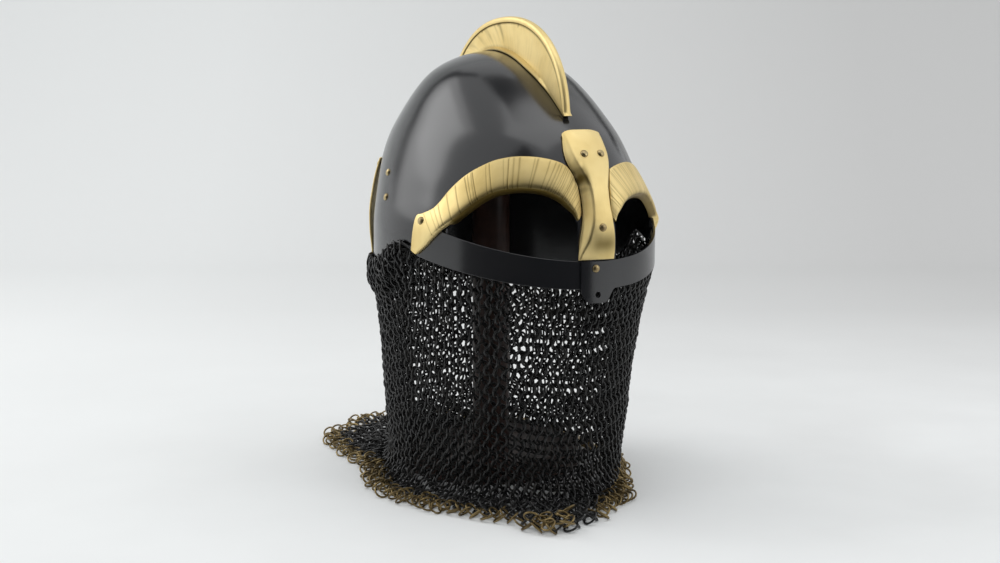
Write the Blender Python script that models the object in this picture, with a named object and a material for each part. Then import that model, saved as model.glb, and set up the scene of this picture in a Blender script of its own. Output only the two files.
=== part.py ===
"""Norse iron helmet with a curtain of mail, standing on a turned wooden stand.

The helmet faces -Y, and left and right are the wearer's, so the left side is at +X. The origin is the
middle of the stand's foot, on the table. Every size is in metres and every angle is in degrees, and an
angle round the skull is 0 at the nose, 90 at the wearer's left and -90 at the right.
"""

import math
from collections import namedtuple

import bmesh
import bpy
from mathutils import Matrix, Vector
from mathutils.bvhtree import BVHTree

# Gaps between pieces
SEAT_GAP = 0.0004
MAIL_GAP = 0.0006
HEM_GAP = 0.0006

# Skull: a bowl with an upright wall below its widest height
SKULL_LENGTH = 0.2372
SKULL_WIDTH = 0.195
SKULL_WALL = 0.0016
RIM_HEIGHT = 0.159
WALL_HEIGHT = 0.026
DOME_HEIGHT = 0.127
SKULL_FORWARD = 0.033
CROWN_SHIFT = 0.026
LEFT_FLAT = 0.0028

# Rim: it is cut higher over the face, behind the visor band, drops behind the temples, and again to the
# nape, where the mail hangs over it
RIM_COVER = 0.006
RIM_DROP_START = 79.0
RIM_DROP_END = 93.0
NAPE_DROP = 0.012
NAPE_START = 101.0
NAPE_END = 116.0

# Visor band under the eyes, in two halves that lap beside the nose
BAND_DROP = 0.0074
BAND_WIDTH = 0.0187
BAND_LOW_RISE = 0.028
BAND_TOP_RISE = 0.036
BAND_THICKNESS = 0.0014
BAND_END = 71.5
LAP_START = -8.0
LAP_LENGTH = 6.0
LAP_FADE = 14.0
TAB_DROP = 0.0088
TAB_SHIFT = -0.0020
TAB_FLAT = 0.0055
TAB_HALF_WIDTH = 0.0145
TAB_HOLE = 0.0040
TAB_HOLE_RISE = 0.0055

# Eye openings
EYE_INNER = 8.0
EYE_OUTER = 60.0
EYE_TOP = 0.0572
EYE_TOP_LEFT_DROP = 0.0055
EYE_SILL_DROP = 0.0030

# Brass brows
BROW_LEFT_DROP = 0.0028
BROW_HEIGHT = 0.0046
BROW_NASAL_GAP = 0.0008

# Brass nasal
NASAL_TOP = 0.0935
NASAL_FOOT_GAP = 0.0009
NASAL_HALF_WIDTH = 0.0175
NASAL_HEIGHT = 0.0080
NASAL_EDGE = 0.0011
NASAL_TOP_SHIFT = 0.0038
NASAL_FOOT_SHIFT = -0.0018

# Brass crest
CREST_RISE = 0.0235
CREST_HALF_LENGTH = 0.0900
CREST_BACK = 0.011
CREST_FULLNESS = 2.2
CREST_BASE = 0.054
CREST_END = 4.0
CREST_WEB = 0.0042
CREST_FOOT = 0.0105
CREST_FOOT_SHARE = 0.12
CREST_BEAD = 0.0056
CREST_BEAD_DEPTH = 0.0046

# Brass strips behind the temples
STRIP_ANGLE = 130.0
STRIP_WIDTH = 0.028
STRIP_HEIGHT = 0.0700
STRIP_THICKNESS = 0.0016
STRIP_BOW = 0.0020

# Rivets
RIVET_RADIUS = 0.0026
RIVET_HEIGHT = 0.0016

# Mail: a wire round the rim and one long curtain that ends in a brass hem on the table
WIRE_DIAMETER = 0.0020
WIRE_OUTSIDE = 0.0021
WIRE_INSIDE = 0.0026
WIRE_CROSS_START = 73.0
WIRE_CROSS_END = 81.0
WIRE_LEVEL_START = 104.0
MAIL_WALL = 0.0030
MAIL_BACK_SHIFT = 0.011
BEND_HEIGHT = 0.006
HEM_WIDTH = 0.021
HEM_SHARE = 0.6

# Stand
FOOT_DIAMETER = 0.134
FOOT_THICKNESS = 0.016
FOOT_EDGE = 0.004
POST_DIAMETER = 0.028
HEAD_DIAMETER = 0.072
HEAD_LENGTH = 0.070
HEAD_CROWN = 0.040
HEAD_GAP = 0.0008

# Facets
SKULL_COLUMNS = 56
SKULL_ROWS = 13
MAIL_COLUMNS = 60
DROP_ROWS = 7
SKIRT_ROWS = 3
HEM_ROWS = 3
ROUND_SIDES = 32

# Dome above the upright wall. "rise" is a share of its height, "length" and "width" are shares of the
# skull's, and "back" is a share of the crown's shift to the back.
Dome = namedtuple("Dome", "rise length width back")
DOME_SECTIONS = [
    Dome(0.00, 1.000, 1.000, 0.00),
    Dome(0.24, 0.990, 0.925, 0.28),
    Dome(0.40, 0.955, 0.855, 0.48),
    Dome(0.52, 0.890, 0.795, 0.58),
    Dome(0.62, 0.780, 0.735, 0.64),
    Dome(0.77, 0.585, 0.625, 0.72),
    Dome(0.88, 0.425, 0.500, 0.82),
    Dome(0.95, 0.275, 0.330, 0.91),
    Dome(1.00, 0.000, 0.000, 1.00),
]

# The arch of an eye opening and the brow round it. "along" is a share of the angle from the inner to the
# outer end of the opening, and "rise" a share of the height from its outer corner to its top.
Brow = namedtuple("Brow", "inner_along inner_rise outer_along outer_rise height")
BROW_STATIONS = [
    Brow(0.010, 0.30, -0.022, 0.42, 0.35),
    Brow(0.035, 0.47, -0.035, 0.72, 0.60),
    Brow(0.075, 0.61, -0.035, 1.02, 0.85),
    Brow(0.133, 0.78, 0.000, 1.36, 1.00),
    Brow(0.217, 0.92, 0.075, 1.60, 1.00),
    Brow(0.325, 0.99, 0.235, 1.73, 1.00),
    Brow(0.446, 1.00, 0.420, 1.76, 1.00),
    Brow(0.579, 0.93, 0.590, 1.68, 1.00),
    Brow(0.687, 0.78, 0.730, 1.50, 1.00),
    Brow(0.781, 0.57, 0.850, 1.27, 1.00),
    Brow(0.888, 0.29, 0.965, 0.93, 1.00),
    Brow(0.973, 0.07, 1.060, 0.53, 0.95),
    Brow(1.040, -0.12, 1.150, 0.38, 0.85),
    Brow(1.085, -0.26, 1.215, 0.30, 0.75),
    Brow(1.125, -0.39, 1.243, -0.05, 0.65),
    Brow(1.198, -0.58, 1.262, -0.50, 0.55),
]
BROW_OVER_BAND = 11

# Nasal, from its top down. "down" is a share of its length, "edge" and "face" are shares of its half
# width, and "height" is a share of its height.
Nasal = namedtuple("Nasal", "down edge face height")
NASAL_SECTIONS = [
    Nasal(0.000, 0.86, 0.83, 0.25),
    Nasal(0.110, 0.97, 0.71, 0.50),
    Nasal(0.180, 1.00, 0.68, 0.62),
    Nasal(0.265, 0.92, 0.61, 0.75),
    Nasal(0.340, 0.75, 0.48, 0.86),
    Nasal(0.430, 0.64, 0.32, 0.94),
    Nasal(0.520, 0.60, 0.28, 1.00),
    Nasal(0.615, 0.60, 0.29, 1.00),
    Nasal(0.725, 0.67, 0.35, 1.00),
    Nasal(0.830, 0.75, 0.46, 0.88),
    Nasal(0.920, 0.76, 0.62, 0.58),
    Nasal(1.000, 0.76, 0.74, 0.25),
]

# Drop of the mail. "height" is a share of the wire's height, "girth" a share of the skull's girth, and
# "back" a share of the mail's shift to the back.
Drop = namedtuple("Drop", "height girth back")
MAIL_DROP = [
    Drop(0.83, 0.937, 0.40),
    Drop(0.58, 0.882, 0.70),
    Drop(0.28, 0.850, 0.90),
    Drop(0.11, 0.812, 1.00),
]
MAIL_FLOOR = 0.880
MAIL_SKIRT_MIN = 0.045
MAIL_SMOOTHING = 3

# Hem of the mail on the table. "reach" is a share of the skull's girth.
Hem = namedtuple("Hem", "angle reach")
HEM_OUTLINE = [
    Hem(-168, 1.70),
    Hem(-152, 1.58),
    Hem(-111, 1.07),
    Hem(-76, 1.19),
    Hem(-53, 1.20),
    Hem(-34, 1.25),
    Hem(-24, 1.45),
    Hem(-15, 1.38),
    Hem(-3, 1.23),
    Hem(11, 1.10),
    Hem(46, 0.91),
    Hem(74, 0.93),
    Hem(115, 1.04),
    Hem(150, 1.40),
]

# Rivets: the piece that each one sits on, its angle, and its height above the rim
Rivet = namedtuple("Rivet", "name carrier angle height")
NASAL_RIVETS = [
    Rivet("nasal_rivet_left", "nasal", 6.8, 0.0782),
    Rivet("nasal_rivet_right", "nasal", -1.8, 0.0782),
    Rivet("nasal_rivet_low", "nasal", -0.6, 0.0325),
]
SIDE_RIVET_ANGLES = (96.0, 98.2)
SIDE_RIVET_HEIGHTS = (0.0485, 0.0655)
BROW_RIVET_ANGLE = 68.1
BROW_RIVET_HEIGHT = 0.0348
BAND_RIVET_ANGLE = -2.2
BAND_RIVET_RISE = 0.75
STRIP_RIVET_SHARES = (0.08, 0.36, 0.63, 0.93)

APEX_HEIGHT = RIM_HEIGHT + WALL_HEIGHT + DOME_HEIGHT


def smooth(share):
    """Ease from 0 to 1."""
    share = min(max(share, 0.0), 1.0)
    return share * share * (3.0 - 2.0 * share)


def mix(start, end, share):
    return start + (end - start) * share


def reset_scene():
    for thing in list(bpy.data.objects):
        bpy.data.objects.remove(thing, do_unlink=True)


def make_material(name, colour, metallic, roughness):
    material = bpy.data.materials.new(name)
    material.use_nodes = True
    shader = material.node_tree.nodes["Principled BSDF"]
    shader.inputs["Base Color"].default_value = (*colour, 1.0)
    shader.inputs["Metallic"].default_value = metallic
    shader.inputs["Roughness"].default_value = roughness
    return material


def add_object(name, mesh, material, smooth_angle=35.0):
    """Close the bmesh into a named object, shaded smooth below the given angle."""
    bmesh.ops.recalc_face_normals(mesh, faces=mesh.faces)
    data = bpy.data.meshes.new(name)
    mesh.to_mesh(data)
    mesh.free()
    data.materials.append(material)
    data.shade_smooth()
    data.set_sharp_from_angle(angle=math.radians(smooth_angle))
    thing = bpy.data.objects.new(name, data)
    bpy.context.scene.collection.objects.link(thing)
    return thing


def loft(name, loops, material, closed=False):
    """Solid whose skin runs through the loops of points; an open one gets a cap at each end."""
    mesh = bmesh.new()
    rings = [[mesh.verts.new(point) for point in loop] for loop in loops]
    following = rings[1:] + rings[:1] if closed else rings[1:]
    for near, far in zip(rings, following):
        for index in range(len(near)):
            after = (index + 1) % len(near)
            mesh.faces.new((near[index], near[after], far[after], far[index]))
    if not closed:
        mesh.faces.new(rings[0])
        mesh.faces.new(rings[-1])
    return add_object(name, mesh, material)


def slope_at(rows, index, read):
    """Slope of a table's column at a row, level at the first."""
    if index == 0:
        return 0.0
    before = rows[index - 1]
    after = rows[min(index + 1, len(rows) - 1)]
    return (read(after) - read(before)) / (after.rise - before.rise)


def read_dome(share, read):
    """Smooth value of a column of the dome's table at a share of its height."""
    rows = DOME_SECTIONS
    index = max(i for i in range(len(rows) - 1) if rows[i].rise <= share)
    low, high = rows[index], rows[index + 1]
    span = high.rise - low.rise
    t = (share - low.rise) / span
    start = (2.0 * t ** 3 - 3.0 * t ** 2 + 1.0) * read(low)
    end = (3.0 * t ** 2 - 2.0 * t ** 3) * read(high)
    leave = (t ** 3 - 2.0 * t ** 2 + t) * span * slope_at(rows, index, read)
    arrive = (t ** 3 - t ** 2) * span * slope_at(rows, index + 1, read)
    return start + end + leave + arrive


def dome_section(height):
    """Middle, half length and half width of the skull's outside at a height.

    The squares of the lengths and widths are what runs smoothly, because it rounds the crown.
    """
    share = min(max((height - RIM_HEIGHT - WALL_HEIGHT) / DOME_HEIGHT, 0.0), 1.0)
    middle = -SKULL_FORWARD + CROWN_SHIFT * read_dome(share, lambda row: row.back)
    half_length = 0.5 * SKULL_LENGTH * math.sqrt(max(read_dome(share, lambda row: row.length ** 2), 0.0))
    half_width = 0.5 * SKULL_WIDTH * math.sqrt(max(read_dome(share, lambda row: row.width ** 2), 0.0))
    return middle, half_length, half_width


def left_flat(angle):
    """Share of the half width that the left of the forehead is flatter than the right by."""
    turn = math.radians((angle + 180.0) % 360.0 - 180.0)
    if not 0.0 < turn < 0.5 * math.pi:
        return 0.0
    return LEFT_FLAT / (0.5 * SKULL_WIDTH) * math.sin(2.0 * turn) ** 2


def dome_skin(angle, height):
    middle, half_length, half_width = dome_section(height)
    turn = math.radians(angle)
    x = half_width * (math.sin(turn) - left_flat(angle))
    return Vector((x, middle - half_length * math.cos(turn), height))


def dome_normal(angle, height):
    """Outward direction of the skull's skin, from its slope round and up."""
    step = 0.0001
    across = dome_skin(angle + 0.5, height) - dome_skin(angle - 0.5, height)
    up = dome_skin(angle, height + step) - dome_skin(angle, height - step)
    return across.cross(up).normalized()


def dome_point(angle, height, offset=0.0):
    """Point at a distance outside the skull's skin."""
    return dome_skin(angle, height) + dome_normal(angle, height) * offset


def angle_at(x, height):
    """Angle whose point on the skull lies at x, on the front half."""
    half_width = dome_section(height)[2]
    return math.degrees(math.asin(min(max(x / half_width, -1.0), 1.0)))


def bisect(test, low, high):
    """Value between low and high where the test turns false."""
    for _ in range(40):
        middle = 0.5 * (low + high)
        if test(middle):
            low = middle
        else:
            high = middle
    return low


def band_low(angle):
    return RIM_HEIGHT - BAND_DROP + BAND_LOW_RISE * (1.0 - math.cos(math.radians(angle)))


def band_top(angle):
    rise = BAND_TOP_RISE * (1.0 - math.cos(math.radians(angle)))
    return RIM_HEIGHT - BAND_DROP + BAND_WIDTH + rise


def rim_height(angle):
    """Height of the skull's lower edge."""
    angle = abs(angle)
    front = band_low(min(angle, RIM_DROP_START)) + RIM_COVER
    share = smooth((angle - RIM_DROP_START) / (RIM_DROP_END - RIM_DROP_START))
    nape = NAPE_DROP * smooth((angle - NAPE_START) / (NAPE_END - NAPE_START))
    return mix(front, RIM_HEIGHT, share) - nape


def arch_angle(along):
    return mix(EYE_INNER, EYE_OUTER, along)


def arch_height(side, rise, left_drop=EYE_TOP_LEFT_DROP):
    """Height on the arch of the left (1) or right (-1) eye, whose tops aren't level."""
    top = RIM_HEIGHT + EYE_TOP - (left_drop if side > 0 else 0.0)
    return mix(band_top(EYE_OUTER), top, rise)


def brow_height(side, station, across):
    """Height on a brow at a share of the way from the opening to its outer edge."""
    inner = arch_height(side, station.inner_rise)
    outer = arch_height(side, station.outer_rise, BROW_LEFT_DROP)
    return mix(inner, outer, across)


def nasal_ends():
    """Heights of the nasal's top and foot."""
    return RIM_HEIGHT + NASAL_TOP, band_top(0.0) + NASAL_FOOT_GAP


def nasal_edge(side, height):
    """X of the nasal's left or right edge at a height, or of its nearer end outside its length."""
    top, foot = nasal_ends()
    down = min(max((top - height) / (top - foot), 0.0), 1.0)
    for section, after in zip(NASAL_SECTIONS, NASAL_SECTIONS[1:]):
        if down <= after.down:
            share = (down - section.down) / (after.down - section.down)
            edge = mix(section.edge, after.edge, share) * NASAL_HALF_WIDTH
            return side * edge + mix(NASAL_TOP_SHIFT, NASAL_FOOT_SHIFT, down)
    return side * NASAL_SECTIONS[-1].edge * NASAL_HALF_WIDTH


def make_skull(material):
    """The bowl, with its wall turned inward and both eye openings cut through it."""
    mesh = bmesh.new()
    rows = []
    for row in range(SKULL_ROWS):
        share = math.sin(0.5 * math.pi * row / SKULL_ROWS)
        ring = []
        for column in range(SKULL_COLUMNS):
            angle = 360.0 * column / SKULL_COLUMNS
            rim = rim_height((angle + 180.0) % 360.0 - 180.0)
            ring.append(mesh.verts.new(dome_skin(angle, mix(rim, APEX_HEIGHT, share))))
        rows.append(ring)
    apex = mesh.verts.new(dome_skin(0.0, APEX_HEIGHT))
    for column in range(SKULL_COLUMNS):
        after = (column + 1) % SKULL_COLUMNS
        for low, high in zip(rows, rows[1:]):
            mesh.faces.new((low[column], low[after], high[after], high[column]))
        mesh.faces.new((rows[-1][column], rows[-1][after], apex))
    skull = add_object("skull", mesh, material)
    wall = skull.modifiers.new("wall", "SOLIDIFY")
    wall.thickness = SKULL_WALL
    wall.offset = -1.0
    wall.use_even_offset = True
    for side in (-1, 1):
        cut = skull.modifiers.new("eye", "BOOLEAN")
        cut.operation = "DIFFERENCE"
        cut.solver = "EXACT"
        cut.object = make_eye_cutter(side, material)
    return skull


def make_eye_cutter(side, material):
    """Curved block in the shape of one eye opening, longer than the wall is thick."""
    inside = -4.0 * SKULL_WALL
    outside = 3.0 * SKULL_WALL
    loops = []
    first = BROW_STATIONS[0]
    arch = [station for station in BROW_STATIONS if station.inner_along <= 1.0]
    corners = [(first.inner_along, first.inner_rise)]
    corners += [(station.inner_along, station.inner_rise) for station in arch[1:]]
    for along, rise in corners:
        angle = arch_angle(along)
        low = band_top(angle) - EYE_SILL_DROP
        high = arch_height(side, rise)
        loops.append([
            dome_point(side * angle, low, inside),
            dome_point(side * angle, low, outside),
            dome_point(side * angle, high, outside),
            dome_point(side * angle, high, inside),
        ])
    cutter = loft("eye_cutter", loops, material)
    cutter.hide_render = True
    cutter.display_type = "WIRE"
    return cutter


def lap_lift(angle):
    """How far the left half of the band stands out where it laps over the right half."""
    full = BAND_THICKNESS + SEAT_GAP
    return full * (1.0 - smooth((angle - LAP_START - LAP_LENGTH) / LAP_FADE))


def tab_drop(angle):
    """How far the tab under the nose hangs below the band."""
    x = abs(dome_skin(angle, RIM_HEIGHT).x - TAB_SHIFT)
    return TAB_DROP * (1.0 - smooth((x - TAB_FLAT) / (TAB_HALF_WIDTH - TAB_FLAT)))


def band_loop(angle, drop, lift):
    """Outline of the band's wall at an angle, bent with the skull."""
    near = SEAT_GAP + lift
    far = near + BAND_THICKNESS
    low = band_low(angle) - drop
    top = band_top(angle)
    bend = min(max(RIM_HEIGHT + WALL_HEIGHT, mix(low, top, 0.4)), mix(low, top, 0.7))
    heights = [low, bend, mix(bend, top, 0.5), top]
    inner = [dome_point(angle, height, near) for height in heights]
    outer = [dome_point(angle, height, far) for height in reversed(heights)]
    return inner + outer


def make_visor(material):
    """The two halves of the band; the left one laps over the right one and carries the tab."""
    columns = 14
    right_end = LAP_START + LAP_LENGTH
    right_loops = []
    for column in range(columns + 1):
        angle = mix(-BAND_END, right_end, column / columns)
        right_loops.append(band_loop(angle, 0.0, 0.0))
    right = loft("visor_right", right_loops, material)

    tab_end = -LAP_START
    tab_columns = 12
    angles = [mix(LAP_START, tab_end, column / tab_columns) for column in range(tab_columns)]
    angles += [mix(tab_end, BAND_END, column / columns) for column in range(columns + 1)]
    left_loops = [band_loop(angle, tab_drop(angle), lap_lift(angle)) for angle in angles]
    left = loft("visor_left", left_loops, material)

    drill = bmesh.new()
    height = band_low(0.0) - TAB_DROP + TAB_HOLE_RISE
    turn = Matrix.Rotation(0.5 * math.pi, 4, "X")
    place = Matrix.Translation(dome_point(angle_at(TAB_SHIFT, height), height)) @ turn
    bmesh.ops.create_cone(
        drill, cap_ends=True, segments=16, radius1=0.5 * TAB_HOLE, radius2=0.5 * TAB_HOLE,
        depth=20.0 * BAND_THICKNESS, matrix=place,
    )
    cutter = add_object("tab_drill", drill, material)
    cutter.hide_render = True
    cutter.display_type = "WIRE"
    hole = left.modifiers.new("tab_hole", "BOOLEAN")
    hole.operation = "DIFFERENCE"
    hole.solver = "EXACT"
    hole.object = cutter
    return left, right


def make_brow(name, side, material):
    """Brass brow: a ridge that follows the arch, with a lip turned into the opening."""
    across_and_height = [
        (0.00, 0.00),
        (0.50, 0.00),
        (1.00, 0.00),
        (1.00, 0.28),
        (0.72, 0.78),
        (0.38, 1.00),
        (0.12, 0.96),
        (0.00, 0.45),
    ]
    loops = []
    for index, station in enumerate(BROW_STATIONS):
        over_band = BAND_THICKNESS + SEAT_GAP if index >= BROW_OVER_BAND else 0.0
        loop = []
        for across, share in across_and_height:
            angle = arch_angle(mix(station.inner_along, station.outer_along, across))
            height = brow_height(side, station, across)
            beside_nasal = angle_at(abs(nasal_edge(side, height)) + BROW_NASAL_GAP, height)
            angle = max(angle, beside_nasal)
            offset = SEAT_GAP + over_band + share * station.height * BROW_HEIGHT
            loop.append(dome_point(side * angle, height, offset))
        loops.append(loop)
    return loft(name, loops, material)


def make_nasal(material):
    """Brass nasal: a raised flat face with a sloping flange at each side."""
    top, foot = nasal_ends()
    loops = []
    for section in NASAL_SECTIONS:
        height = mix(top, foot, section.down)
        shift = mix(NASAL_TOP_SHIFT, NASAL_FOOT_SHIFT, section.down)
        edge = section.edge * NASAL_HALF_WIDTH
        face = section.face * NASAL_HALF_WIDTH
        raised = SEAT_GAP + max(section.height * NASAL_HEIGHT, NASAL_EDGE)
        low = SEAT_GAP + NASAL_EDGE
        outline = [
            (-edge, SEAT_GAP), (-edge, low), (-face, raised), (0.0, raised),
            (face, raised), (edge, low), (edge, SEAT_GAP), (0.5 * edge, SEAT_GAP),
            (0.0, SEAT_GAP), (-0.5 * edge, SEAT_GAP),
        ]
        loops.append([dome_point(angle_at(x + shift, height), height, offset) for x, offset in outline])
    return loft("nasal", loops, material)


def skull_reach(direction, base):
    """Distance from the crest's centre to the skull's skin along a direction in the middle plane."""
    def inside(reach):
        point = base + direction * reach
        middle, half_length, _ = dome_section(point.z)
        return point.z < APEX_HEIGHT and abs(point.y - middle) < half_length
    return bisect(inside, 0.0, 2.0 * CREST_HALF_LENGTH)


def make_crest(material):
    """Brass crest: a crescent of sheet on edge, with a foot on the skull and a seam along its rim."""
    base = Vector((0.0, -SKULL_FORWARD + CREST_BACK, APEX_HEIGHT - CREST_BASE))
    half_height = CREST_BASE + CREST_RISE
    stations = 30
    loops = []
    for station in range(stations + 1):
        turn = math.radians(mix(CREST_END, 180.0 - CREST_END, station / stations))
        direction = Vector((0.0, -math.cos(turn), math.sin(turn)))
        foot = skull_reach(direction, base) + SEAT_GAP
        along = (abs(math.cos(turn)) / CREST_HALF_LENGTH) ** CREST_FULLNESS
        upward = (math.sin(turn) / half_height) ** CREST_FULLNESS
        rim = (along + upward) ** (-1.0 / CREST_FULLNESS)
        rim = max(rim, foot + 1.1 * CREST_BEAD_DEPTH)
        bead = rim - min(CREST_BEAD_DEPTH, 0.6 * (rim - foot))
        flange = foot + min(0.0012, 0.2 * (rim - foot))
        web = mix(flange, bead, CREST_FOOT_SHARE)
        half = [
            (0.5 * CREST_FOOT, foot), (0.5 * CREST_FOOT, flange), (0.5 * CREST_WEB, web),
            (0.5 * CREST_WEB, bead), (0.5 * CREST_BEAD, mix(bead, rim, 0.2)),
            (0.5 * CREST_BEAD, mix(bead, rim, 0.8)), (0.3 * CREST_BEAD, rim),
        ]
        outline = half + [(-x, reach) for x, reach in reversed(half)]
        loops.append([base + direction * reach + Vector((x, 0.0, 0.0)) for x, reach in outline])
    return loft("crest", loops, material)


def strip_height(share):
    """Height up the strip, which stands just above the wire."""
    base = RIM_HEIGHT + 1.5 * WIRE_DIAMETER + 2.0 * SEAT_GAP
    return base + STRIP_HEIGHT * share


def make_strip(name, side, material):
    """Brass strip up the side of the skull, bowed off it between its ends."""
    half_angle = math.degrees(STRIP_WIDTH / (SKULL_LENGTH + SKULL_WIDTH) * 2.0)
    rows = 8
    columns = 4
    loops = []
    for row in range(rows + 1):
        share = row / rows
        height = strip_height(share)
        near = SEAT_GAP + STRIP_BOW * math.sin(math.pi * share)
        far = near + STRIP_THICKNESS
        angles = [side * (STRIP_ANGLE + half_angle * (2.0 * c / columns - 1.0)) for c in range(columns + 1)]
        inner = [dome_point(angle, height, near) for angle in angles]
        outer = [dome_point(angle, height, far) for angle in reversed(angles)]
        loops.append(inner + outer)
    return loft(name, loops, material)


def wire_height(angle):
    """Height of the wire's middle: under the rim in front, over it behind the temples."""
    angle = abs(angle)
    front = band_low(min(angle, WIRE_CROSS_START)) + WIRE_DIAMETER
    peak = rim_height(RIM_DROP_START) - 0.5 * WIRE_DIAMETER - 2.0 * SEAT_GAP
    back = RIM_HEIGHT + WIRE_DIAMETER
    rise = smooth((angle - WIRE_CROSS_START) / (WIRE_CROSS_END - WIRE_CROSS_START))
    fall = smooth((angle - WIRE_CROSS_END) / (WIRE_LEVEL_START - WIRE_CROSS_END))
    return mix(mix(front, peak, rise), back, fall)


def wire_offset(angle):
    """Distance of the wire's middle from the skull's skin, inside it in front."""
    share = (abs(angle) - WIRE_CROSS_START) / (WIRE_CROSS_END - WIRE_CROSS_START)
    return mix(-WIRE_INSIDE, WIRE_OUTSIDE, min(max(share, 0.0), 1.0))


def make_wire(material):
    """Wire that the mail's first rings hang from, once round the helmet."""
    sides = 6
    loops = []
    for column in range(MAIL_COLUMNS):
        angle = 360.0 * column / MAIL_COLUMNS - 180.0
        height = wire_height(angle)
        middle = dome_point(angle, height, wire_offset(angle))
        outward = dome_normal(angle, RIM_HEIGHT)
        loop = []
        for side in range(sides):
            turn = 2.0 * math.pi * side / sides
            swing = outward * math.cos(turn) + Vector((0.0, 0.0, math.sin(turn)))
            loop.append(middle + swing * 0.5 * WIRE_DIAMETER)
        loops.append(loop)
    return loft("mail_wire", loops, material, closed=True)


def hem_reach(angle):
    """Reach of the hem on the table, eased from one row of the outline to the next."""
    rows = HEM_OUTLINE + [Hem(HEM_OUTLINE[0].angle + 360.0, HEM_OUTLINE[0].reach)]
    if angle < rows[0].angle:
        angle += 360.0
    for row, after in zip(rows, rows[1:]):
        if angle <= after.angle:
            share = (angle - row.angle) / (after.angle - row.angle)
            return mix(row.reach, after.reach, smooth(share))
    return rows[-1].reach


def mail_point(angle, height, girth, shift):
    turn = math.radians(angle)
    middle = -SKULL_FORWARD + shift
    x = 0.5 * SKULL_WIDTH * girth * (math.sin(turn) - left_flat(angle))
    y = middle - 0.5 * SKULL_LENGTH * girth * math.cos(turn)
    return Vector((x, y, height))


def mail_route(angle):
    """Middle line of the mail at one angle, from the wire down and out over the table."""
    top = wire_height(angle) - 0.5 * WIRE_DIAMETER - MAIL_GAP
    flat = 0.5 * MAIL_WALL
    reach = hem_reach(angle)
    floor = min(MAIL_FLOOR, reach - MAIL_SKIRT_MIN)
    past_rim = min(top, rim_height(angle)) - 0.5 * MAIL_WALL
    start = [dome_point(angle, height, wire_offset(angle)) for height in (top, past_rim)]
    route = []
    for drop in MAIL_DROP:
        route.append(mail_point(angle, top * drop.height, drop.girth, MAIL_BACK_SHIFT * drop.back))
    for share in (0.0, 0.5, 1.0):
        route.append(mail_point(angle, flat, mix(floor, reach, share), MAIL_BACK_SHIFT))
    return start + round_corners(route, MAIL_SMOOTHING)


def round_corners(route, times):
    """Cut the corners of a route, a quarter of each side at a time."""
    for _ in range(times):
        cut = [route[0]]
        for point, after in zip(route, route[1:]):
            cut += [point.lerp(after, 0.25), point.lerp(after, 0.75)]
        route = cut + [route[-1]]
    return route


def walk(route, distance):
    """Point at a distance along a route."""
    for start, end in zip(route, route[1:]):
        length = (end - start).length
        if distance <= length:
            return start.lerp(end, distance / length)
        distance -= length
    return route[-1]


def route_length(route):
    return sum((after - point).length for point, after in zip(route, route[1:]))


def mail_loop(angle, distances):
    """Closed outline of the mail's wall at one angle, at distances along its route."""
    route = mail_route(angle)
    total = route_length(route)
    turn = math.radians(angle)
    around = Vector((math.cos(turn), math.sin(turn), 0.0))
    outer = []
    inner = []
    for distance in distances:
        point = walk(route, distance)
        ahead = walk(route, min(distance + MAIL_WALL, total)) - walk(route, max(distance - MAIL_WALL, 0.0))
        out = ahead.cross(around).normalized() * 0.5 * MAIL_WALL
        high = point + out
        low = point - out
        for side in (high, low):
            side.z = max(side.z, 0.0)
        outer.append(high)
        inner.append(low)
    return outer + inner[::-1]


def bend_distance(angle):
    """Distance along the route to the middle of the bend onto the table."""
    route = mail_route(angle)
    above = [point for point in route if point.z > BEND_HEIGHT]
    return route_length(above)


def spread(start, end, rows):
    return [mix(start, end, row / rows) for row in range(rows + 1)]


def make_mail(black, brass):
    """The curtain and its brass hem, two walls that meet at a small gap."""
    curtain = []
    hem = []
    for column in range(MAIL_COLUMNS):
        angle = 360.0 * column / MAIL_COLUMNS - 180.0
        route = mail_route(angle)
        total = route_length(route)
        past_rim = (route[1] - route[0]).length
        bend = bend_distance(angle)
        split = total - min(HEM_WIDTH, HEM_SHARE * (total - bend))
        drop = [0.0] + spread(past_rim, bend, DROP_ROWS)
        skirt = spread(bend, split - 0.5 * HEM_GAP, SKIRT_ROWS)
        curtain.append(mail_loop(angle, drop + skirt[1:]))
        hem.append(mail_loop(angle, spread(split + 0.5 * HEM_GAP, total, HEM_ROWS)))
    return loft("mail_curtain", curtain, black, closed=True), loft("mail_hem", hem, brass, closed=True)


def make_rivet(name, carrier, angle, height, material):
    """Domed rivet head seated on the outside of its carrier."""
    tree = BVHTree.FromPolygons(
        [vertex.co for vertex in carrier.data.vertices],
        [list(face.vertices) for face in carrier.data.polygons],
    )
    far = dome_point(angle, height, 0.03)
    hit, normal, _, _ = tree.ray_cast(far, -dome_normal(angle, height))
    seat = hit + normal * SEAT_GAP
    rows = 3
    mesh = bmesh.new()
    profile = [mesh.verts.new((RIVET_RADIUS, 0.0, 0.0))]
    for row in range(1, rows + 1):
        rise = 0.5 * math.pi * row / rows
        profile.append(mesh.verts.new((RIVET_RADIUS * math.cos(rise), 0.0, RIVET_HEIGHT * math.sin(rise))))
    profile[-1].co.x = 0.0
    base = mesh.verts.new((0.0, 0.0, 0.0))
    line = [mesh.edges.new(pair) for pair in zip([base] + profile, profile)]
    bmesh.ops.spin(
        mesh, geom=[base] + profile + line, cent=(0.0, 0.0, 0.0), axis=(0.0, 0.0, 1.0),
        angle=2.0 * math.pi, steps=12, use_merge=True, use_duplicate=False,
    )
    bmesh.ops.remove_doubles(mesh, verts=mesh.verts, dist=0.00001)
    rivet = add_object(name, mesh, material)
    rivet.matrix_world = Matrix.Translation(seat) @ normal.to_track_quat("Z", "Y").to_matrix().to_4x4()
    return rivet


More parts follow.
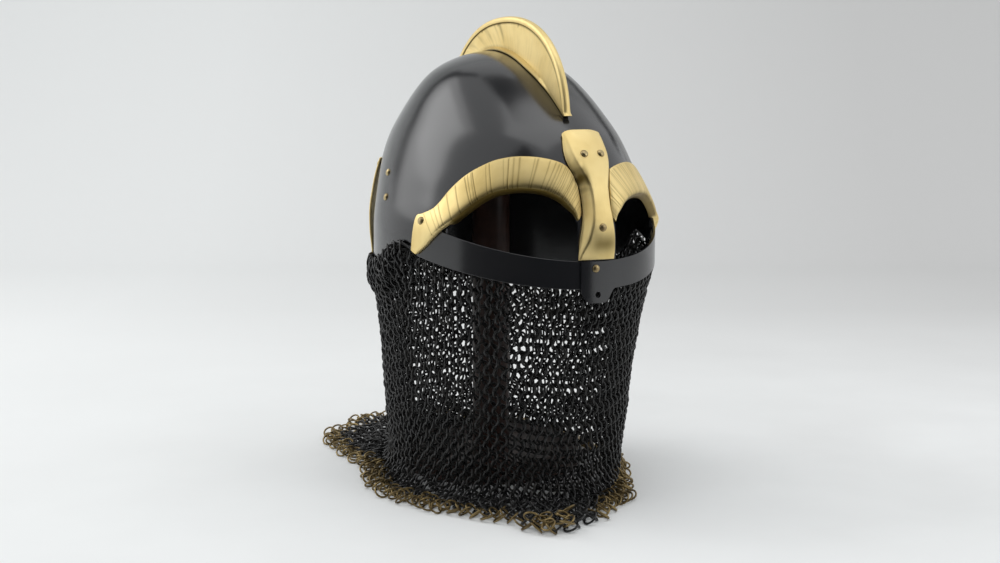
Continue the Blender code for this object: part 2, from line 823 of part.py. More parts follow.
def make_rivets(pieces, brass):
    for rivet in NASAL_RIVETS:
        make_rivet(rivet.name, pieces[rivet.carrier], rivet.angle, RIM_HEIGHT + rivet.height, brass)
    height = mix(band_low(0.0), band_top(0.0), BAND_RIVET_RISE)
    make_rivet("visor_rivet", pieces["visor_left"], BAND_RIVET_ANGLE, height, brass)
    for word, side in (("left", 1), ("right", -1)):
        brow = pieces["brow_" + word]
        make_rivet("brow_rivet_" + word, brow, side * BROW_RIVET_ANGLE, RIM_HEIGHT + BROW_RIVET_HEIGHT, brass)
        for number, (angle, rise) in enumerate(zip(SIDE_RIVET_ANGLES, SIDE_RIVET_HEIGHTS), start=1):
            name = f"side_rivet_{word}_{number}"
            make_rivet(name, pieces["skull"], side * angle, RIM_HEIGHT + rise, brass)
        for number, share in enumerate(STRIP_RIVET_SHARES, start=1):
            name = f"strip_rivet_{word}_{number}"
            strip = pieces["strip_" + word]
            make_rivet(name, strip, side * STRIP_ANGLE, strip_height(share), brass)


def turned(name, profile, material):
    """Solid of revolution about the stand's axis, from radius and height pairs that start and end on it."""
    mesh = bmesh.new()
    points = [mesh.verts.new((radius, 0.0, height)) for radius, height in profile]
    edges = [mesh.edges.new(pair) for pair in zip(points, points[1:])]
    bmesh.ops.spin(
        mesh, geom=points + edges, cent=(0.0, 0.0, 0.0), axis=(0.0, 0.0, 1.0),
        angle=2.0 * math.pi, steps=ROUND_SIDES, use_merge=True, use_duplicate=False,
    )
    bmesh.ops.remove_doubles(mesh, verts=mesh.verts, dist=0.00001)
    return add_object(name, mesh, material)


def make_stand(material):
    """Turned stand: a round foot, a post and a domed head that carries the skull."""
    foot_radius = 0.5 * FOOT_DIAMETER
    turned("stand_foot", [
        (0.0, 0.0), (foot_radius - 0.25 * FOOT_EDGE, 0.0), (foot_radius, 0.25 * FOOT_EDGE),
        (foot_radius, FOOT_THICKNESS - FOOT_EDGE), (foot_radius - 0.3 * FOOT_EDGE, FOOT_THICKNESS - 0.3 * FOOT_EDGE),
        (foot_radius - FOOT_EDGE, FOOT_THICKNESS), (0.0, FOOT_THICKNESS),
    ], material)

    def ahead_of_back(height):
        middle, half_length, _ = dome_section(height)
        return middle + half_length > 0.0
    over_axis = bisect(ahead_of_back, RIM_HEIGHT, APEX_HEIGHT)
    crown = over_axis - SKULL_WALL - HEAD_GAP
    shoulder = 0.5 * HEAD_DIAMETER
    drop = HEAD_CROWN - math.sqrt(HEAD_CROWN ** 2 - shoulder ** 2)
    rows = 6
    spread = math.asin(shoulder / HEAD_CROWN)
    head = [(0.0, crown - HEAD_LENGTH), (0.8 * shoulder, crown - HEAD_LENGTH)]
    head += [(shoulder, crown - HEAD_LENGTH + 0.2 * shoulder), (shoulder, crown - drop)]
    for row in range(1, rows):
        lean = spread * (1.0 - row / rows)
        head.append((HEAD_CROWN * math.sin(lean), crown - HEAD_CROWN * (1.0 - math.cos(lean))))
    head.append((0.0, crown))
    turned("stand_head", head, material)

    post_radius = 0.5 * POST_DIAMETER
    post_top = crown - HEAD_LENGTH - SEAT_GAP
    post_foot = FOOT_THICKNESS + SEAT_GAP
    turned("stand_post", [
        (0.0, post_foot), (post_radius, post_foot), (post_radius, post_top), (0.0, post_top),
    ], material)


def build():
    reset_scene()
    black = make_material("black_steel", (0.025, 0.026, 0.030), 0.9, 0.28)
    brass = make_material("brass", (0.78, 0.60, 0.25), 1.0, 0.35)
    mail_black = make_material("mail_black", (0.03, 0.03, 0.03), 0.9, 0.45)
    wood = make_material("stained_wood", (0.09, 0.025, 0.015), 0.0, 0.3)
    pieces = {"skull": make_skull(black)}
    pieces["visor_left"], pieces["visor_right"] = make_visor(black)
    pieces["nasal"] = make_nasal(brass)
    make_crest(brass)
    for word, side in (("left", 1), ("right", -1)):
        pieces["brow_" + word] = make_brow("brow_" + word, side, brass)
        pieces["strip_" + word] = make_strip("strip_" + word, side, brass)
    make_rivets(pieces, brass)
    make_wire(mail_black)
    make_mail(mail_black, brass)
    make_stand(wood)


build()
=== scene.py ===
"""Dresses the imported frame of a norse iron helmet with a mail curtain, which stands on a turned wooden stand.

The helmet faces -Y and left is the wearer's left, at +X. Sizes are in metres and angles in degrees. An
angle round the skull is 0 at the nose, 90 at the wearer's left and -90 at the wearer's right.
"""

import logging
import math
import random
from collections.abc import Callable, Sequence
from dataclasses import dataclass
from enum import Enum
from functools import cached_property

import bmesh
import bpy
import numpy as np
from mathutils import Matrix, Vector, noise
from mathutils.bvhtree import BVHTree


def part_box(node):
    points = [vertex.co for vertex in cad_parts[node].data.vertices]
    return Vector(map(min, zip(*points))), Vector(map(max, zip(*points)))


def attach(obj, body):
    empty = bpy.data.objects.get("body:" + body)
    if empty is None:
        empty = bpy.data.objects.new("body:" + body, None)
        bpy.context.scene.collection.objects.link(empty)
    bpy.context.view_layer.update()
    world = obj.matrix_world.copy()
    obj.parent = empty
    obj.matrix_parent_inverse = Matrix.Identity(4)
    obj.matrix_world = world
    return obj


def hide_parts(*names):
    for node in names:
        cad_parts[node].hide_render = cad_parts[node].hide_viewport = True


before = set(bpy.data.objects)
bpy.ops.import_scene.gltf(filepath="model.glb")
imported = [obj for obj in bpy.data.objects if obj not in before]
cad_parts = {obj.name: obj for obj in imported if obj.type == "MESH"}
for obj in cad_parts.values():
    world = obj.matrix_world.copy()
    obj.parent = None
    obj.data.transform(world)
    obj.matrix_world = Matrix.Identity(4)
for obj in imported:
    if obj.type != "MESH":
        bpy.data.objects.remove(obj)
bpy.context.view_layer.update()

SEAT_GAP = 0.0004
# Layer of painted shade and tarnish: how far each vertex is darkened towards its finish's dark colour.
TONE = "tarnish"
MERGE = 0.000005
SHARP = 38.0
UP = Vector((0.0, 0.0, 1.0))

logging.basicConfig(level=logging.INFO, format="%(message)s")
log = logging.getLogger("helmet")

Mesh = bmesh.types.BMesh
Thing = bpy.types.Object
Socket = bpy.types.NodeSocket
Pair = tuple[float, float]
Triple = tuple[float, float, float]
Spot = tuple[Vector, float]
Place = Callable[[int, int], Spot]


class Side(Enum):
    """Side of the wearer, with the sign of its X."""

    LEFT = 1
    RIGHT = -1

    @property
    def word(self) -> str:
        """The side's name in the names of pieces."""
        return self.name.lower()


class Slot(Enum):
    """Material slots."""

    STEEL = "black_steel"
    BRASS = "brass"
    RIVET = "rivet_brass"
    MAIL = "mail_black"
    HEM = "mail_brass"
    WOOD = "stained_wood"


def mix(start: float, end: float, share: float) -> float:
    """Value at a share of the way from start to end."""
    return start + (end - start) * share


def smooth(share: float) -> float:
    """Ease a share from 0 to 1."""
    share = min(max(share, 0.0), 1.0)
    return share * share * (3.0 - 2.0 * share)


def bump(distance: float, width: float) -> float:
    """Bell curve that is 1 at no distance and fades over the width."""
    return math.exp(-((distance / width) ** 2))


def through(rows: Sequence[Sequence[float]], count: int) -> np.ndarray:
    """Smooth curve through the rows of a table.

    Args:
        rows: The rows, each with the same number of columns.
        count: How many rows the result has.

    Returns:
        The rows of the curve, from the first given row to the last.
    """
    table = np.asarray(rows, float)
    padded = np.vstack([2.0 * table[0] - table[1], table, 2.0 * table[-1] - table[-2]])
    steps = np.linspace(0.0, len(table) - 1.0, count)
    index = np.minimum(steps.astype(int), len(table) - 2)
    part = (steps - index)[:, None]
    a, b, c, d = (padded[index + shift] for shift in range(4))
    cubic = (3.0 * b - a - 3.0 * c + d) * part ** 3
    return 0.5 * (2.0 * b + (c - a) * part + (2.0 * a - 5.0 * b + 4.0 * c - d) * part ** 2 + cubic)


@dataclass(frozen=True)
class Bowl:
    """Outside of the skull: an upright wall below a dome, both oval from above."""

    length: float = 0.2372
    width: float = 0.195
    wall: float = 0.0016
    rim: float = 0.159
    upright: float = 0.026
    dome: float = 0.127
    forward: float = 0.033
    crown_shift: float = 0.026
    left_flat: float = 0.0028
    rim_cover: float = 0.006
    rim_drop_start: float = 79.0
    rim_drop_end: float = 93.0
    nape_drop: float = 0.012
    nape_start: float = 101.0
    nape_end: float = 116.0
    band_drop: float = 0.0074
    band_width: float = 0.0187
    band_low_rise: float = 0.028
    band_top_rise: float = 0.036
    blur: float = 0.045
    sections: tuple[tuple[float, float, float, float], ...] = (
        (0.00, 1.000, 1.000, 0.00),
        (0.24, 0.990, 0.925, 0.28),
        (0.40, 0.955, 0.855, 0.48),
        (0.52, 0.890, 0.795, 0.58),
        (0.62, 0.780, 0.735, 0.64),
        (0.77, 0.585, 0.625, 0.72),
        (0.88, 0.425, 0.500, 0.82),
        (0.95, 0.275, 0.330, 0.91),
        (1.00, 0.000, 0.000, 1.00),
    )

    @property
    def apex(self) -> float:
        """Height of the crown."""
        return self.rim + self.upright + self.dome

    def column(self, share: np.ndarray, values: np.ndarray) -> np.ndarray:
        """Smooth values of one column of the sections, level at the first.

        Args:
            share: Shares of the dome's height.
            values: The column, one value for each section.

        Returns:
            The column's values at the shares.
        """
        rise = np.array([row[0] for row in self.sections])
        last = len(rise) - 1
        slope = np.zeros(last + 1)
        for index in range(1, last + 1):
            after = min(index + 1, last)
            slope[index] = (values[after] - values[index - 1]) / (rise[after] - rise[index - 1])
        share = np.clip(share, 0.0, 1.0)
        low = np.clip(np.searchsorted(rise, share, side="right") - 1, 0, last - 1)
        span = rise[low + 1] - rise[low]
        t = (share - rise[low]) / span
        value = (2 * t ** 3 - 3 * t ** 2 + 1) * values[low] + (3 * t ** 2 - 2 * t ** 3) * values[low + 1]
        bend = (t ** 3 - 2 * t ** 2 + t) * slope[low] + (t ** 3 - t ** 2) * slope[low + 1]
        return value + bend * span

    def tables(self) -> tuple[np.ndarray, np.ndarray]:
        """Shares of the dome's height, and the length squared, width squared and shift at each."""
        share = np.linspace(0.0, 1.0, 513)
        columns = np.array([list(row) for row in self.sections])
        reach = np.minimum(self.blur, 0.5 * (1.0 - share))
        read = []
        for values in (columns[:, 1] ** 2, columns[:, 2] ** 2, columns[:, 3]):
            total = np.zeros_like(share)
            weights = {-1.0: 1.0, -0.5: 2.0, 0.0: 3.0, 0.5: 2.0, 1.0: 1.0}
            for shift, weight in weights.items():
                total += weight * self.column(share + shift * reach, values)
            read.append(total / sum(weights.values()))
        return share, np.array(read)

    def section(self, height: float) -> Triple:
        """Middle, half length and half width of the outside at a height."""
        share = min(max((height - self.rim - self.upright) / self.dome, 0.0), 1.0)
        length, width, back = (float(np.interp(share, DOME_SHARES, row)) for row in DOME_COLUMNS)
        half_length = 0.5 * self.length * math.sqrt(max(length, 0.0))
        half_width = 0.5 * self.width * math.sqrt(max(width, 0.0))
        return -self.forward + self.crown_shift * back, half_length, half_width

    def across(self, angle: float) -> float:
        """X as a share of the half width, less where the left of the forehead is flatter."""
        turn = math.radians((angle + 180.0) % 360.0 - 180.0)
        flat = self.left_flat / (0.5 * self.width) * math.sin(2.0 * turn) ** 2
        return math.sin(turn) - (flat if 0.0 < turn < 0.5 * math.pi else 0.0)

    def skin(self, angle: float, height: float) -> Vector:
        """Point on the outside."""
        middle, half_length, half_width = self.section(height)
        return Vector((
            half_width * self.across(angle), middle - half_length * math.cos(math.radians(angle)), height,
        ))

    def normal(self, angle: float, height: float) -> Vector:
        """Outward direction of the outside."""
        step = 0.0006
        across = self.skin(angle + 0.5, height) - self.skin(angle - 0.5, height)
        up = self.skin(angle, height + step) - self.skin(angle, height - step)
        return across.cross(up).normalized()

    def point(self, angle: float, height: float, offset: float = 0.0) -> Vector:
        """Point at a distance outside the skin."""
        return self.skin(angle, height) + self.normal(angle, height) * offset

    def angle_at(self, x: float, height: float) -> float:
        """Angle whose point on the front half lies at x."""
        half_width = self.section(height)[2]
        return math.degrees(math.asin(min(max(x / half_width, -1.0), 1.0)))

    def band_low(self, angle: float) -> float:
        """Height of the visor band's lower edge."""
        return self.rim - self.band_drop + self.band_low_rise * (1.0 - math.cos(math.radians(angle)))

    def band_top(self, angle: float) -> float:
        """Height of the visor band's upper edge."""
        rise = self.band_top_rise * (1.0 - math.cos(math.radians(angle)))
        return self.rim - self.band_drop + self.band_width + rise

    def rim_height(self, angle: float) -> float:
        """Height of the skull's lower edge."""
        angle = abs((angle + 180.0) % 360.0 - 180.0)
        front = self.band_low(min(angle, self.rim_drop_start)) + self.rim_cover
        share = smooth((angle - self.rim_drop_start) / (self.rim_drop_end - self.rim_drop_start))
        nape = self.nape_drop * smooth((angle - self.nape_start) / (self.nape_end - self.nape_start))
        return mix(front, self.rim, share) - nape


BOWL = Bowl()
DOME_SHARES, DOME_COLUMNS = BOWL.tables()


def lofted(place: Place, along: int, around: int, ring: bool = False, caps: bool = True) -> Mesh:
    """Skin through closed loops of points.

    Args:
        place: Gives the point and its tone at a loop and a step round it.
        along: How many spans there are from the first loop to the last.
        around: How many points each loop has.
        ring: Whether the last loop is the first again.
        caps: Whether the open ends are closed.

    Returns:
        The mesh, with its tones in the layer named by TONE.
    """
    mesh = bmesh.new()
    bmesh.ops.create_grid(mesh, x_segments=around, y_segments=along, size=0.5)
    tones = mesh.verts.layers.float.new(TONE)
    for vertex in mesh.verts:
        step = round((vertex.co.x + 0.5) * around) % around
        loop = round((vertex.co.y + 0.5) * along)
        vertex.co, vertex[tones] = place(loop % along if ring else loop, step)
    bmesh.ops.remove_doubles(mesh, verts=mesh.verts, dist=0.000001)
    edges = [edge for edge in mesh.edges if edge.is_boundary]
    if caps and edges:
        bmesh.ops.holes_fill(mesh, edges=edges, sides=0)
    return mesh


def linked(name: str, data: bpy.types.ID) -> Thing:
    """New object of some data, in the scene."""
    thing = bpy.data.objects.new(name, data)
    bpy.context.scene.collection.objects.link(thing)
    return thing


def filled(name: str, mesh: Mesh) -> bpy.types.Mesh:
    """Mesh data made from a working mesh, which is freed."""
    data = bpy.data.meshes.new(name)
    mesh.to_mesh(data)
    mesh.free()
    return data


def spun(mesh: Mesh, parts: list[bmesh.types.BMVert | bmesh.types.BMEdge], steps: int) -> None:
    """Turn parts of a mesh about the Z axis into a closed skin."""
    bmesh.ops.spin(
        mesh, geom=parts, cent=(0.0, 0.0, 0.0), axis=UP, angle=math.tau, steps=steps,
        use_merge=True, use_duplicate=False,
    )


def turned(profile: Sequence[Pair], steps: int) -> Mesh:
    """Solid turned about the Z axis from pairs of radius and height."""
    mesh = bmesh.new()
    points = [mesh.verts.new((radius, 0.0, height)) for radius, height in profile]
    spun(mesh, points + [mesh.edges.new(pair) for pair in zip(points, points[1:])], steps)
    bmesh.ops.remove_doubles(mesh, verts=mesh.verts, dist=MERGE)
    return mesh


def shaded(thing: Thing, sharp: float) -> Thing:
    """Shade a thing smooth below an angle."""
    thing.data.shade_smooth()
    thing.data.set_sharp_from_angle(angle=math.radians(sharp))
    return thing


def shown(name: str, mesh: Mesh, sharp: float = SHARP) -> Thing:
    """Object of a mesh, with its faces outwards and shaded smooth below an angle."""
    bmesh.ops.recalc_face_normals(mesh, faces=mesh.faces)
    return shaded(linked(name, filled(name, mesh)), sharp)


def cut_with(thing: Thing, cutters: Sequence[Thing]) -> None:
    """Subtract the cutters from a thing for good, after its other modifiers, and remove them."""
    for cutter in cutters:
        cut = thing.modifiers.new("cut", "BOOLEAN")
        cut.operation = "DIFFERENCE"
        cut.solver = "EXACT"
        cut.object = cutter
    bpy.context.view_layer.update()
    graph = bpy.context.evaluated_depsgraph_get()
    old = thing.data
    thing.data = bpy.data.meshes.new_from_object(thing.evaluated_get(graph))
    thing.modifiers.clear()
    thing.data.name = thing.name
    bpy.data.meshes.remove(old)
    for cutter in cutters:
        bpy.data.objects.remove(cutter, do_unlink=True)
    shaded(thing, SHARP)


def soften(thing: Thing, width: float) -> None:
    """Round the sharp edges of a thing."""
    modifier = thing.modifiers.new("soft_edges", "BEVEL")
    modifier.width = width
    modifier.segments = 2
    modifier.limit_method = "ANGLE"
    modifier.angle_limit = math.radians(50.0)
    modifier.harden_normals = False


def surface_tree(thing: Thing) -> BVHTree:
    """Tree of a thing's faces, for rays."""
    data = thing.data
    return BVHTree.FromPolygons([v.co for v in data.vertices], [list(f.vertices) for f in data.polygons])


class Nodes:
    """Writes the nodes of one tree."""

    def __init__(self, tree: bpy.types.NodeTree) -> None:
        """Keep the tree."""
        self.tree = tree

    def add(self, kind: str, inputs: dict[str, object] | None = None, **settings: object) -> bpy.types.Node:
        """Add a node.

        Args:
            kind: The node's type, without its ShaderNode prefix.
            inputs: Values or sockets for its inputs, by name or number.
            settings: Values for its own properties.

        Returns:
            The node.
        """
        node = self.tree.nodes.new("ShaderNode" + kind)
        for name, value in settings.items():
            setattr(node, name, value)
        self.feed(node, inputs or {})
        return node

    def feed(self, node: bpy.types.Node, inputs: dict[str, object]) -> None:
        """Give a node's inputs their values or sockets."""
        for name, value in inputs.items():
            self.join(value, node.inputs[int(name)] if name.isdigit() else node.inputs[name])

    def join(self, value: object, socket: Socket) -> None:
        """Link a socket to another one, or give it a value, where a tuple is a colour without its alpha."""
        if isinstance(value, Socket):
            self.tree.links.new(value, socket)
        else:
            socket.default_value = (*value, 1.0) if isinstance(value, tuple) else value

    def blend(self, mask: object, first: object, second: object) -> Socket:
        """Mix two colours by a mask."""
        node = self.add("Mix", data_type="RGBA")
        colours = [socket for socket in node.inputs if socket.type == "RGBA"]
        for socket, value in zip([node.inputs[0], *colours], (mask, first, second)):
            self.join(value, socket)
        return next(socket for socket in node.outputs if socket.type == "RGBA")


def new_material(name: str) -> tuple[bpy.types.Material, Nodes, bpy.types.Node]:
    """New material, the writer of its nodes and its shader."""
    material = bpy.data.materials.new(name)
    material.use_nodes = True
    return material, Nodes(material.node_tree), material.node_tree.nodes["Principled BSDF"]


def group_of(name: str, takes: dict[str, float | None], gives: dict[str, str]) -> bpy.types.NodeTree:
    """Empty shader group.

    Args:
        name: The group's name.
        takes: Default of each input, or None for a vector.
        gives: Socket type of each output.

    Returns:
        The group, with its input and output nodes named "in" and "out".
    """
    tree = bpy.data.node_groups.new(name, "ShaderNodeTree")
    for socket, value in takes.items():
        kind = "NodeSocketVector" if value is None else "NodeSocketFloat"
        made = tree.interface.new_socket(socket, in_out="INPUT", socket_type=kind)
        if value is not None:
            made.default_value = value
    for socket, kind in gives.items():
        tree.interface.new_socket(socket, in_out="OUTPUT", socket_type=kind)
    tree.nodes.new("NodeGroupInput").name = "in"
    tree.nodes.new("NodeGroupOutput").name = "out"
    return tree


def clouds_group() -> bpy.types.NodeTree:
    """Group that gives a cloudy mask with finer specks in it."""
    tree = group_of(
        "clouds", {"Vector": None, "Scale": 20.0, "Low": 0.4, "High": 0.6}, {"Mask": "NodeSocketFloat"}
    )
    nodes = Nodes(tree)
    given = tree.nodes["in"].outputs
    wide = nodes.add("TexNoise", {"Vector": given["Vector"], "Scale": given["Scale"], "Detail": 6.0})
    mask = nodes.add(
        "MapRange", {"Value": wide.outputs[0], "From Min": given["Low"], "From Max": given["High"]},
    )
    nodes.feed(tree.nodes["out"], {"Mask": mask.outputs["Result"]})
    return tree


def marks_group() -> bpy.types.NodeTree:
    """Group that gives the height of fine marks, long in one direction, over a wavy ground."""
    tree = group_of(
        "marks",
        {"Vector": None, "Scale": 300.0, "Stretch": 6.0, "Waves": 40.0, "Waviness": 0.4},
        {"Height": "NodeSocketFloat"},
    )
    nodes = Nodes(tree)
    given = tree.nodes["in"].outputs
    stretch = nodes.add("CombineXYZ", {"X": 1.0, "Y": 1.0, "Z": given["Stretch"]})
    long = nodes.add("VectorMath", {"0": given["Vector"], "1": stretch.outputs[0]}, operation="DIVIDE")
    fine = nodes.add("TexNoise", {"Vector": long.outputs[0], "Scale": given["Scale"], "Detail": 3.0})
    wavy = nodes.add("TexNoise", {"Vector": given["Vector"], "Scale": given["Waves"], "Detail": 2.0})
    total = nodes.add("Math", {"0": wavy.outputs[0], "1": given["Waviness"], "2": fine.outputs[0]},
                      operation="MULTIPLY_ADD")
    nodes.feed(tree.nodes["out"], {"Height": total.outputs[0]})
    return tree


CLOUDS = clouds_group()
MARKS = marks_group()
RELIEF_DEPTH = 0.0002


@dataclass(frozen=True)
class Finish:
    """A finish: two colours and two roughnesses mixed by clouds, painted shade and tarnish, over fine marks."""

    name: str
    slot: Slot
    colour: Triple
    worn: Triple
    metallic: float
    roughness: Pair
    cloud: Triple
    marks: tuple[float, float, float, float]
    relief: float
    # Dark colour of the painted shade and tarnish.
    tarnish: Triple = (0.05, 0.035, 0.015)
    coat: float = 0.0
    coat_roughness: float = 0.1
    specular: float = 0.5

    @cached_property
    def material(self) -> bpy.types.Material:
        """The material, built when it is first asked for."""
        material, nodes, shader = new_material(self.name)
        place = nodes.add("TexCoord").outputs["Object"]
        scale, low, high = self.cloud
        cloud = nodes.add(
            "Group", {"Vector": place, "Scale": scale, "Low": low, "High": high}, node_tree=CLOUDS,
        )
        mask = cloud.outputs["Mask"]
        worn = nodes.blend(mask, self.colour, self.worn)
        tone = nodes.add("Attribute", attribute_name=TONE).outputs["Fac"]
        clean, rough = self.roughness
        fine, stretch, waves, waviness = self.marks
        marks = nodes.add("Group", {
            "Vector": place, "Scale": fine, "Stretch": stretch, "Waves": waves, "Waviness": waviness,
        }, node_tree=MARKS)
        relief = nodes.add("Bump", {
            "Height": marks.outputs["Height"], "Strength": self.relief, "Distance": RELIEF_DEPTH,
        })
        # The tone layer darkens the colour with painted shade and tarnish.
        nodes.feed(shader, {
            "Base Color": nodes.blend(tone, worn, self.tarnish),
            "Roughness": nodes.add(
                "MapRange", {"Value": mask, "To Min": clean, "To Max": rough},
            ).outputs["Result"],
            "Normal": relief.outputs[0],
            "Metallic": self.metallic,
            "Coat Weight": self.coat,
            "Coat Roughness": self.coat_roughness,
            "Specular IOR Level": self.specular,
        })
        return material


ENAMEL = Finish(
    "black_enamel", Slot.STEEL, (0.007, 0.0075, 0.009), (0.010, 0.010, 0.011), 0.0,
    (0.16, 0.23), (14.0, 0.35, 0.7), (1400.0, 1.0, 30.0, 0.9), 0.06,
    tarnish=(0.004, 0.004, 0.004), specular=0.80,
)
BRASS = Finish(
    "worked_brass", Slot.BRASS, (0.93, 0.745, 0.355), (0.78, 0.60, 0.25), 1.0,
    (0.46, 0.60), (34.0, 0.42, 0.80), (420.0, 5.0, 60.0, 0.8), 0.30,
    tarnish=(0.16, 0.11, 0.028),
)
RIVET_BRASS = Finish(
    "rivet_brass", Slot.RIVET, (0.50, 0.40, 0.21), (0.30, 0.22, 0.11), 1.0,
    (0.28, 0.45), (160.0, 0.4, 0.7), (600.0, 1.0, 200.0, 0.8), 0.25,
    tarnish=(0.06, 0.04, 0.02),
)
BLACK_RING = Finish(
    "blackened_ring", Slot.MAIL, (0.008, 0.008, 0.008), (0.016, 0.014, 0.012), 0.0,
    (0.26, 0.40), (90.0, 0.5, 0.8), (900.0, 1.0, 250.0, 0.6), 0.25,
    specular=0.40,
)
BRASS_RING = Finish(
    "aged_brass_ring", Slot.HEM, (0.27, 0.20, 0.09), (0.10, 0.072, 0.040), 1.0,
    (0.30, 0.46), (75.0, 0.35, 0.75), (900.0, 1.0, 250.0, 0.6), 0.25,
)
STAINED_WOOD = Finish(
    "stained_wood", Slot.WOOD, (0.045, 0.016, 0.009), (0.020, 0.008, 0.005), 0.0,
    (0.42, 0.55), (55.0, 0.35, 0.65), (160.0, 14.0, 30.0, 0.4), 0.35,
    coat=0.2, coat_roughness=0.2, specular=0.35,
)


class Dressing:
    """Base of the sub-assemblies: puts finished pieces on the frame."""

    def add(self, thing: Thing, finish: Finish, *nodes: str) -> Thing:
        """Dress a piece and seat it on the frame.

        Args:
            thing: The piece, in its place.
            finish: Its finish.
            nodes: The frame's nodes that it stands for.

        Returns:
            The piece.
        """
        thing.data.materials.clear()
        thing.data.materials.append(finish.material)
        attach(thing, "root")
        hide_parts(*nodes)
        log.info("%s: %d faces", thing.name, len(thing.data.polygons))
        return thing


BROW_COLUMNS = ((
    (0.010, 0.30, -0.022, 0.42, 0.35),
    (0.035, 0.47, -0.035, 0.72, 0.60),
    (0.075, 0.61, -0.035, 1.02, 0.85),
    (0.133, 0.78, 0.000, 1.36, 1.00),
    (0.217, 0.92, 0.075, 1.60, 1.00),
    (0.325, 0.99, 0.235, 1.73, 1.00),
    (0.446, 1.00, 0.420, 1.76, 1.00),
    (0.579, 0.93, 0.590, 1.68, 1.00),
    (0.687, 0.78, 0.730, 1.50, 1.00),
    (0.781, 0.57, 0.850, 1.27, 1.00),
    (0.888, 0.29, 0.965, 0.93, 1.00),
    (0.973, 0.07, 1.060, 0.53, 0.95),
    (1.040, -0.12, 1.150, 0.38, 0.85),
    (1.085, -0.26, 1.215, 0.30, 0.75),
    (1.125, -0.39, 1.243, -0.05, 0.65),
    (1.198, -0.58, 1.262, -0.50, 0.55),
))


@dataclass(frozen=True)
class EyeArch:
    """Arch over an eye opening, which the opening and its brow both follow."""

    inner: float = 8.0
    outer: float = 60.0
    top: float = 0.0572

    def angle(self, along: float) -> float:
        """Angle at a share of the way from the inner to the outer end."""
        return mix(self.inner, self.outer, along)

    def height(self, side: Side, rise: float, left_drop: float = 0.0055) -> float:
        """Height at a share of the way from the outer corner to the top."""
        top = BOWL.rim + self.top - (left_drop if side is Side.LEFT else 0.0)
        return mix(BOWL.band_top(self.outer), top, rise)


ARCH = EyeArch()


@dataclass
class SkullShell(Dressing):
    """Black enamelled bowl with two eye openings."""

    columns: int = 180
    rows: int = 72
    sill_drop: float = 0.0030
    cutter_out: float = 0.0048
    cutter_in: float = 0.0064
    cutter_spans: int = 48

    def build(self) -> Thing:
        """Make the bowl and give it back."""
        def place(row: int, column: int) -> Spot:
            angle = 360.0 * column / self.columns
            share = math.sin(0.5 * math.pi * row / self.rows)
            return BOWL.skin(angle, mix(BOWL.rim_height(angle), BOWL.apex, share)), 0.0

        shell = shown("skull_shell", lofted(place, self.rows, self.columns, caps=False))
        wall = shell.modifiers.new("wall", "SOLIDIFY")
        wall.thickness = BOWL.wall
        wall.offset = -1.0
        wall.use_even_offset = True
        cut_with(shell, [self.eye_cutter(side) for side in Side])
        return self.add(shell, ENAMEL, "skull")

    def eye_cutter(self, side: Side) -> Thing:
        """Curved block in the shape of one eye opening."""
        arch = [row for row in BROW_COLUMNS if row[0] <= 1.0]
        stations = through([row[:2] for row in arch], self.cutter_spans + 1)

        def place(loop: int, corner: int) -> Spot:
            along, rise = stations[loop]
            angle = ARCH.angle(along)
            height = ARCH.height(side, rise) if corner > 1 else BOWL.band_top(angle) - self.sill_drop
            offset = self.cutter_out if corner in (1, 2) else -self.cutter_in
            return BOWL.point(side.value * angle, height, offset), 0.0

        return shown("eye_cutter", lofted(place, self.cutter_spans, 4))


@dataclass
class VisorBand(Dressing):
    """Black band under the eyes, in two halves that lap beside the nose, with a tab on the left one."""

    thickness: float = 0.0014
    end: float = 71.5
    lap_start: float = -8.0
    lap_length: float = 6.0
    lap_fade: float = 14.0
    tab: float = 0.0088
    tab_shift: float = -0.0020
    tab_flat: float = 0.0055
    tab_half_width: float = 0.0145
    hole: float = 0.0040
    hole_rise: float = 0.0055
    edge_round: float = 0.00035
    levels: int = 10
    columns: int = 110

    def lift(self, angle: float) -> float:
        """How far the left half stands out where it laps over the right one."""
        full = self.thickness + SEAT_GAP
        return full * (1.0 - smooth((angle - self.lap_start - self.lap_length) / self.lap_fade))

    def drop(self, angle: float) -> float:
        """How far the tab hangs below the band."""
        x = abs(BOWL.skin(angle, BOWL.rim).x - self.tab_shift)
        return self.tab * (1.0 - smooth((x - self.tab_flat) / (self.tab_half_width - self.tab_flat)))

    def half(self, name: str, start: float, end: float, over: bool) -> Thing:
        """One half of the band, from one angle to another."""
        def place(column: int, step: int) -> Spot:
            angle = mix(start, end, column / self.columns)
            level = step if step <= self.levels else 2 * self.levels + 1 - step
            near = SEAT_GAP + (self.lift(angle) if over else 0.0)
            offset = near if step <= self.levels else near + self.thickness
            low = BOWL.band_low(angle) - (self.drop(angle) if over else 0.0)
            height = mix(low, BOWL.band_top(angle), level / self.levels)
            return BOWL.point(angle, height, offset), 0.0

        return shown(name, lofted(place, self.columns, 2 * self.levels + 2))

    def build(self) -> dict[str, Thing]:
        """Make both halves.

        Returns:
            The halves, by the name of the node that each stands for.
        """
        right = self.half("visor_band_right", -self.end, self.lap_start + self.lap_length, False)
        left = self.half("visor_band_left", self.lap_start, self.end, True)
        drill = bmesh.new()
        height = BOWL.band_low(0.0) - self.tab + self.hole_rise
        place = BOWL.point(BOWL.angle_at(self.tab_shift, height), height)
        turn = Matrix.Rotation(0.5 * math.pi, 4, "X")
        bmesh.ops.create_cone(
            drill, cap_ends=True, segments=32, radius1=0.5 * self.hole, radius2=0.5 * self.hole,
            depth=20.0 * self.thickness, matrix=Matrix.Translation(place) @ turn,
        )
        cut_with(left, [shown("tab_drill", drill)])
        for piece, node in ((right, "visor_right"), (left, "visor_left")):
            soften(piece, self.edge_round)
            self.add(piece, ENAMEL, node)
        return {"visor_right": right, "visor_left": left}


